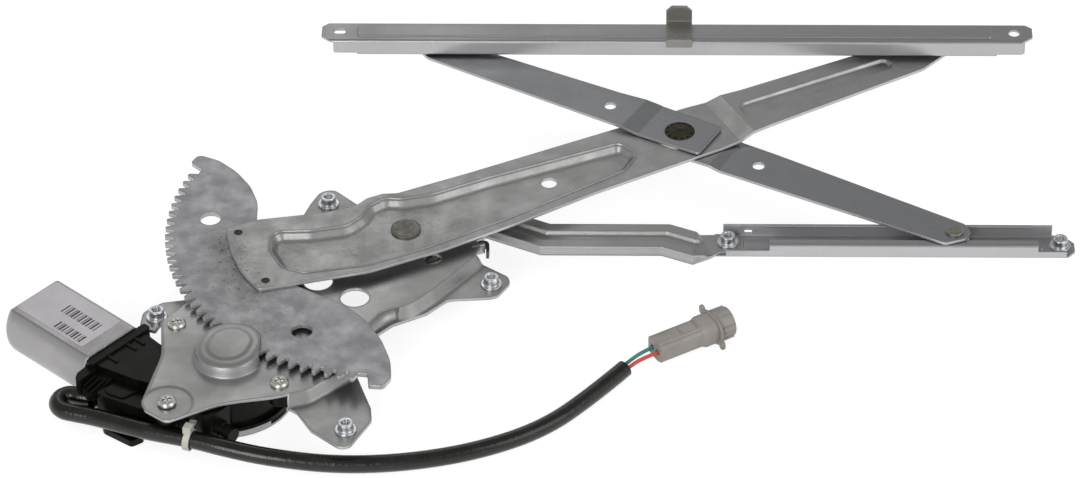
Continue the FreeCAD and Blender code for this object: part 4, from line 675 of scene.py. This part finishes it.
@dataclass
class MotorLabel:
    """A bare label on the flat top of the motor can, with plain bars and no words.

    The sizes are in millimetres, along the motor from the pinion axis and across it from the
    motor axis. A row of bars gives its start, its lowest and highest place across and its
    number of bars.
    """

    origin: Point = (-103.7, -121.5, 9.0)
    axis_offset: float = 35.6
    start: float = 72.0
    end: float = 130.5
    back: float = -18.0
    front: float = 15.5
    gap: float = 0.02
    thickness: float = 0.12
    corner: float = 2.0
    rows: tuple[tuple[float, float, float, int], ...] = ((78.0, -7.6, 0.4, 14), (76.6, 6.8, 13.4, 11))
    pitch: float = 2.15
    widths: tuple[float, ...] = (0.7, 1.3, 0.5, 1.0, 1.5)
    bar_thickness: float = 0.03
    bar_corner: float = 0.1
    paper: MouldedPlastic = MouldedPlastic("label_paper", (0.60, 0.58, 0.60), (0.50, 0.485, 0.50), 0.5,
                                           grain=500.0)
    ink: MouldedPlastic = MouldedPlastic("label_ink", (0.05, 0.05, 0.055), (0.13, 0.13, 0.14), 0.6)

    def plate(self, name: str, low: Pair, high: Pair, heights: Pair, radius: float,
              material: bpy.types.Material) -> None:
        """Make one thin plate with round corners.

        Args:
            name: The name of the piece.
            low: Its lowest place along and across.
            high: Its highest place along and across.
            heights: Its lower and its upper height above the flat.
            radius: The radius of its corners.
            material: The finish.
        """
        middle = ((low[0] + high[0]) / 2, (low[1] + high[1]) / 2)
        outline = []
        for along, across, quarter in ((high[0], high[1], 0), (low[0], high[1], 90), (low[0], low[1], 180),
                                       (high[0], low[1], 270)):
            centre_x = along - math.copysign(radius, along - middle[0])
            centre_y = across - math.copysign(radius, across - middle[1])
            for step in range(ARC_STEPS + 1):
                angle = math.radians(quarter + step * 90 / ARC_STEPS)
                outline.append((centre_x + radius * math.cos(angle), centre_y + radius * math.sin(angle)))
        points = [beside_motor(self.origin, x, self.axis_offset + y, height)
                  for height in heights for x, y in outline]
        add_piece(name, points, block_faces(len(outline)), material, "base")

    def build(self) -> None:
        """Build the label and its printed bars."""
        paper = self.paper.material()
        ink = self.ink.material()
        self.plate("motor_label", (self.start, self.back), (self.end, self.front),
                   (self.gap, self.thickness), self.corner, paper)
        heights = (self.thickness, self.thickness + self.bar_thickness)
        for row, (along, low, high, count) in enumerate(self.rows):
            for number in range(count):
                start = along + number * self.pitch
                width = self.widths[(number + row) % len(self.widths)]
                self.plate(f"label_bar_{row + 1}_{number + 1}", (start, low), (start + width, high),
                           heights, self.bar_corner, ink)


@dataclass(frozen=True)
class Prism:
    """One upright block by its plan outline, in millimetres along and across the motor axis.

    Its top rises by the slope for each millimetre across, counted from the slope's start.
    """

    name: str
    outline: tuple[Pair, ...]
    low: float
    high: float
    slope: float = 0.0
    slope_start: float = 0.0
    corner: float = 2.0


@dataclass
class HousingApron:
    """The front of the plastic gear housing: hood over the cable's exit, deep wall, ribs and foot."""

    origin: Point = (-127.15, -148.29, 0.0)
    longest_round: float = 0.45
    prisms: tuple[Prism, ...] = (
        Prism("housing_front_wall", ((44.0, 12.0), (44.0, 31.5), (37.0, 31.0), (21.5, 26.6), (2.2, 21.4),
                                     (-9.0, 16.0), (-9.0, 12.0)), -18.0, -0.6),
        Prism("housing_flange_wing", ((55.2, 17.0), (61.5, 17.0), (60.8, 30.0), (57.5, 35.0), (54.0, 34.5)),
              -5.8, 4.2),
        Prism("housing_hood", ((43.6, 10.0), (55.4, 10.0), (54.2, 33.5), (46.0, 36.5), (43.0, 33.0)),
              -5.8, 2.6, -0.16, 10.0),
        Prism("housing_rib_outer", ((52.0, 22.5), (53.2, 22.5), (52.6, 32.5), (51.4, 32.5)),
              -5.7, 2.2, -0.10, 22.5, 0.4),
        Prism("housing_rib_middle", ((48.6, 22.0), (49.8, 22.0), (49.0, 34.0), (47.8, 34.0)),
              -5.7, 2.2, -0.12, 22.0, 0.4),
        Prism("housing_rib_inner", ((45.0, 21.0), (46.2, 21.0), (45.2, 34.5), (44.0, 34.5)),
              -5.7, 2.2, -0.14, 21.0, 0.4),
        Prism("housing_front_panel", ((40.0, 13.0), (41.5, 27.0), (36.0, 28.0), (26.5, 25.0), (24.0, 13.0)),
              -0.9, 0.5, -0.02, 13.0),
        Prism("housing_corner", ((59.3, 38.0), (49.1, 34.5), (50.0, 20.0), (61.0, 20.0)), -22.6, -18.1),
        Prism("housing_foot", ((37.2, 34.4), (31.7, 38.0), (10.0, 35.5), (7.8, 27.0), (16.0, 22.0)),
              -22.6, -18.1),
    )

    def rounded(self, outline: Sequence[Pair], corner: float) -> list[Vector]:
        """Round the corners of an outline with short arcs.

        Args:
            outline: The sharp outline.
            corner: How far each arc starts from its corner.

        Returns:
            The rounded outline.
        """
        points = []
        for number, here in enumerate(outline):
            middle = Vector(here)
            before = Vector(outline[number - 1]) - middle
            after = Vector(outline[(number + 1) % len(outline)]) - middle
            reach = min(corner, before.length * self.longest_round, after.length * self.longest_round)
            start = middle + before.normalized() * reach
            end = middle + after.normalized() * reach
            for step in range(ARC_STEPS + 1):
                share = step / ARC_STEPS
                points.append(start * (1 - share) ** 2 + middle * 2 * share * (1 - share) + end * share ** 2)
        return points

    def build(self, material: bpy.types.Material) -> None:
        """Build every block and let it ride on the base.

        Args:
            material: The finish.
        """
        for prism in self.prisms:
            outline = self.rounded(prism.outline, prism.corner)
            tops = [prism.high + prism.slope * (point.y - prism.slope_start) for point in outline]
            points = [beside_motor(self.origin, point.x, point.y, prism.low) for point in outline]
            points += [beside_motor(self.origin, point.x, point.y, top)
                       for point, top in zip(outline, tops)]
            add_piece(prism.name, points, block_faces(len(outline)), material, "base")


@dataclass
class PlateSkirt:
    """The sloping wall of the base plate between its raised top and the rim under the gear.

    Each row gives its height and then its places in plan, in millimetres.
    """

    thickness: float = 1.0
    rows: tuple[tuple[float, tuple[Pair, ...]], ...] = (
        (9.2, ((-22.3, -97.7), (-21.0, -93.5), (-18.8, -89.4), (-15.8, -84.2), (-12.6, -79.1), (-8.5, -75.6),
               (-4.5, -74.0), (-0.4, -73.0))),
        (5.0, ((-20.1, -97.0), (-18.6, -93.2), (-16.5, -89.6), (-13.4, -85.3), (-10.2, -81.0), (-7.0, -78.0),
               (-4.2, -76.5), (-1.6, -75.8))),
        (2.05, ((-17.4, -95.0), (-16.2, -92.4), (-14.2, -89.8), (-11.2, -86.6), (-8.6, -83.9), (-6.0, -81.0),
                (-3.2, -79.0), (-0.6, -77.4))),
    )

    def build(self, material: bpy.types.Material) -> None:
        """Build the wall as one closed band.

        Args:
            material: The finish.
        """
        points = []
        for shift in (0.0, self.thickness):
            for height, row in self.rows:
                points += [Vector((x - shift, y + shift, height)) * MM for x, y in row]
        width = len(self.rows[0][1])
        depth = len(self.rows)
        layer = width * depth
        faces = []
        for row in range(depth - 1):
            for column in range(width - 1):
                first = row * width + column
                patch = [first, first + 1, first + width + 1, first + width]
                faces.append(patch)
                faces.append([patch[index] + layer for index in (0, 3, 2, 1)])
        rim = list(range(width)) + [width * (row + 1) - 1 for row in range(1, depth)]
        rim += [layer - 2 - step for step in range(width - 1)]
        rim += [width * row for row in range(depth - 2, 0, -1)]
        for here, after in zip(rim, rim[1:] + rim[:1]):
            faces.append([here, here + layer, after + layer, after])
        item = add_piece("plate_skirt", points, faces, material, "base")
        item.data.polygons.foreach_set("use_smooth", [True] * len(item.data.polygons))


@dataclass
class WeldPits:
    """Dark weld pits where the gear is joined to the root of the lift arm, in millimetres."""

    top: float = 16.8
    radius: float = 2.7
    heights: Pair = (0.02, 0.06)
    steps: int = 32
    places: tuple[Pair, ...] = ((-103.7, -8.9), (-83.5, -56.6))
    metal: MachinedMetal = MachinedMetal("weld_pit", (0.05, 0.045, 0.04), (0.02, 0.018, 0.015), 0.5, 0.6)

    def build(self) -> None:
        """Build each pit as a thin dark disc."""
        material = self.metal.material()
        turns = [2 * math.pi * step / self.steps for step in range(self.steps)]
        for number, (x, y) in enumerate(self.places):
            points = [Vector((x + self.radius * math.cos(angle), y + self.radius * math.sin(angle),
                              self.top + height)) * MM for height in self.heights for angle in turns]
            add_piece(f"weld_pit_{number + 1}", points, block_faces(self.steps), material, "lift")


@dataclass
class NutThreads:
    """Thread turns inside the weld nuts, as fine spiral ridges, in millimetres."""

    bore: float = 2.5
    pitch: float = 1.0
    ridge: float = 0.28
    low: float = 0.7
    high: float = 5.8
    steps: int = 20
    places: tuple[Point, ...] = (
        (-149.5, -75.0, 2.0), (-27.8, -180.5, 2.0), (54.4, -41.3, 2.0), (-50.9, 39.0, 2.0),
        (200.5, 0.0, 3.2), (407.0, 0.0, 1.6),
    )

    def build(self, material: bpy.types.Material) -> None:
        """Wind the threads of every nut.

        Args:
            material: The finish.
        """
        turns = (self.high - self.low) / self.pitch
        line = bpy.data.curves.new("nut_threads", "CURVE")
        line.dimensions = "3D"
        line.bevel_depth = 1.0
        line.bevel_resolution = 1
        for place in self.places:
            spline = line.splines.new("POLY")
            spline.points.add(int(turns * self.steps))
            for step, point in enumerate(spline.points):
                angle = 2 * math.pi * step / self.steps
                height = self.low + self.pitch * step / self.steps
                point.radius = self.ridge * MM
                point.co = ((place[0] + self.bore * math.cos(angle)) * MM,
                            (place[1] + self.bore * math.sin(angle)) * MM, (place[2] + height) * MM, 1.0)
        item = bpy.data.objects.new("nut_threads", line)
        bpy.context.scene.collection.objects.link(item)
        item.data.materials.append(material)
        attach(item, "base")
        LOG.info("wound threads in %d nuts", len(self.places))


@dataclass(frozen=True)
class Lamp:
    """One soft square lamp: where it hangs and points, its side and its power, in metres and watts."""

    name: str
    place: Point
    aim: Point
    size: float
    power: float


@dataclass
class Studio:
    """White floor, soft lamps and the camera of the photograph."""

    floor_level: float = -0.0235
    floor_reach: float = 9.0
    floor_grey: float = 0.42
    floor_glow: float = 0.8
    image_width: float = 1080.0
    focal_pixels: float = 4663.0
    sensor: float = 36.0
    place: Point = (0.15976, -2.28742, 1.79759)
    elevation: float = 38.06
    azimuth: float = 1.91
    roll: float = -0.93
    clip: Pair = (0.05, 50.0)
    fill_light: float = 0.55
    ceiling_light: float = 0.5
    ceiling_rise: Pair = (0.12, 0.62)
    lamps: tuple[Lamp, ...] = (
        Lamp("key_lamp", (-0.7, -2.0, 1.0), (0.05, 0.0, 0.0), 1.2, 24.0),
        Lamp("fill_lamp", (1.6, -0.9, 1.1), (0.1, 0.0, 0.0), 1.4, 10.0),
        Lamp("top_lamp", (-0.25, 1.4, 1.3), (0.0, 0.0, 0.0), 0.6, 1.4),
    )

    def floor(self) -> None:
        """Lay the white floor that keeps a faint shadow."""
        mesh = bpy.data.meshes.new("studio_floor")
        reach = self.floor_reach
        corners = [(-reach, -reach), (reach, -reach), (reach, reach), (-reach, reach)]
        mesh.from_pydata([(x, y, self.floor_level) for x, y in corners], [], [(0, 1, 2, 3)])
        item = bpy.data.objects.new("studio_floor", mesh)
        bpy.context.scene.collection.objects.link(item)
        sheet = NodeSheet("studio_white")
        path = sheet.node("ShaderNodeLightPath")
        rays = {0: path.outputs["Is Camera Ray"], 1: path.outputs["Is Glossy Ray"]}
        seen = sheet.node("ShaderNodeMath", rays, operation="MAXIMUM").outputs[0]
        grey = (self.floor_grey, self.floor_grey, self.floor_grey, 1.0)
        matt = sheet.node("ShaderNodeBsdfDiffuse", {"Color": grey})
        glow = sheet.node("ShaderNodeEmission", {"Color": (1.0, 1.0, 1.0, 1.0),
                                                 "Strength": sheet.product(seen, self.floor_glow)})
        both = sheet.node("ShaderNodeAddShader", {0: matt.outputs[0], 1: glow.outputs[0]})
        sheet.node("ShaderNodeOutputMaterial", {"Surface": both.outputs[0]})
        item.data.materials.append(sheet.material)

    def world(self) -> None:
        """Fill the surroundings with plain white light."""
        world = bpy.data.worlds.new("studio_world")
        bpy.context.scene.world = world
        world.use_nodes = True
        tree = world.node_tree
        tree.nodes.clear()
        path = tree.nodes.new("ShaderNodeLightPath")
        seen = tree.nodes.new("ShaderNodeMath")
        seen.operation = "MAXIMUM"
        tree.links.new(path.outputs["Is Camera Ray"], seen.inputs[0])
        tree.links.new(path.outputs["Is Transmission Ray"], seen.inputs[1])
        # The studio is white to eye level, and its ceiling is greyer in the metal's reflections
        height = tree.nodes.new("ShaderNodeSeparateXYZ")
        tree.links.new(tree.nodes.new("ShaderNodeTexCoord").outputs["Generated"], height.inputs[0])
        ceiling = tree.nodes.new("ShaderNodeMapRange")
        tree.links.new(height.outputs["Z"], ceiling.inputs["Value"])
        ceiling.inputs["From Min"].default_value = self.ceiling_rise[0]
        ceiling.inputs["From Max"].default_value = self.ceiling_rise[1]
        ceiling.inputs["To Min"].default_value = 1.0
        ceiling.inputs["To Max"].default_value = self.ceiling_light
        around = tree.nodes.new("ShaderNodeMix")
        tree.links.new(path.outputs["Is Glossy Ray"], around.inputs["Factor"])
        around.inputs[2].default_value = self.fill_light
        tree.links.new(ceiling.outputs["Result"], around.inputs[3])
        strength = tree.nodes.new("ShaderNodeMath")
        strength.operation = "MAXIMUM"
        tree.links.new(around.outputs[0], strength.inputs[0])
        tree.links.new(seen.outputs[0], strength.inputs[1])
        shader = tree.nodes.new("ShaderNodeBackground")
        tree.links.new(strength.outputs[0], shader.inputs["Strength"])
        output = tree.nodes.new("ShaderNodeOutputWorld")
        tree.links.new(shader.outputs[0], output.inputs["Surface"])

    def hang(self, lamp: Lamp) -> None:
        """Hang one soft lamp.

        Args:
            lamp: The lamp.
        """
        light = bpy.data.lights.new(lamp.name, "AREA")
        light.size = lamp.size
        light.energy = lamp.power
        item = bpy.data.objects.new(lamp.name, light)
        item.location = lamp.place
        item.rotation_euler = (Vector(lamp.aim) - Vector(lamp.place)).to_track_quat("-Z", "Y").to_euler()
        bpy.context.scene.collection.objects.link(item)

    def camera(self) -> None:
        """Set the camera where the photograph was taken from."""
        tilt = math.radians(self.elevation)
        turn = math.radians(self.azimuth)
        back = Vector((math.sin(turn) * math.cos(tilt), -math.cos(turn) * math.cos(tilt), math.sin(tilt)))
        right = Vector((math.cos(turn), math.sin(turn), 0.0))
        up = back.cross(right)
        lean = math.radians(self.roll)
        side = right * math.cos(lean) + up * math.sin(lean)
        rise = up * math.cos(lean) - right * math.sin(lean)
        data = bpy.data.cameras.new("photo_camera")
        data.sensor_width = self.sensor
        data.lens = self.sensor * self.focal_pixels / self.image_width
        data.clip_start, data.clip_end = self.clip
        item = bpy.data.objects.new("photo_camera", data)
        item.matrix_world = Matrix((
            (side.x, rise.x, back.x, self.place[0]),
            (side.y, rise.y, back.y, self.place[1]),
            (side.z, rise.z, back.z, self.place[2]),
            (0.0, 0.0, 0.0, 1.0)))
        bpy.context.scene.collection.objects.link(item)
        bpy.context.scene.camera = item

    def build(self) -> None:
        """Build the whole studio."""
        bpy.context.scene.view_settings.view_transform = "Standard"
        self.floor()
        self.world()
        for lamp in self.lamps:
            self.hang(lamp)
        self.camera()
        LOG.info("set the floor, the lamps and the camera")


def cable_routes() -> CableRun:
    """Give the routes of the cable, whose sleeve follows the curl seen at the housing.

    Returns:
        The cable run with its three routes.
    """
    level = CABLE_LEVEL
    curl = level + SLEEVE_DIAMETER / 2
    return CableRun(
        sleeve_route=[
            (-185.945, -135.045, -12.0), (-190.5, -134.7, curl), (-197.8, -131.4, curl),
            (-203.8, -134.9, curl), (-205.2, -141.4, curl), (-201.6, -147.0, curl),
            (-194.5, -149.3, curl), (-181.0, -153.0, curl),
            (-166.0, -160.0, level + 6.5), (-148.0, -168.8, level + 8.0), (-122.0, -177.0, level + 9.5),
            (-100.0, -185.0, level + 9.0), (-74.0, -191.0, level + 7.0), (-34.0, -191.3, level + 1.5),
            (8.0, -187.0, level), (50.0, -176.0, level), (88.0, -156.0, level), (116.0, -126.0, level),
            (137.0, -100.0, level + 1.5)],
        green_route=[(128.3, -107.8, -16.4), (137.4, -96.5, -15.2), (149.9, -86.4, -12.0),
                     (163.5, -78.0, -12.4)],
        red_route=[(131.3, -110.1, -16.4), (140.4, -98.9, -14.2), (153.1, -91.5, -12.0),
                   (166.6, -83.1, -12.4)],
    )


def main() -> None:
    """Build the dressed regulator in its studio."""
    logging.basicConfig(level=logging.INFO, format="%(name)s: %(message)s")
    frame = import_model()
    materials = Finishes().dress(frame)
    cable_routes().build(frame, materials)
    MotorLabel().build()
    NutThreads().build(materials["bright_zinc"])
    HousingApron().build(materials["black_plastic"])
    PlateSkirt().build(materials["pressed_zinc"])
    WeldPits().build()
    Studio().build()
    bpy.context.view_layer.update()


if __name__ == "__main__":
    main()
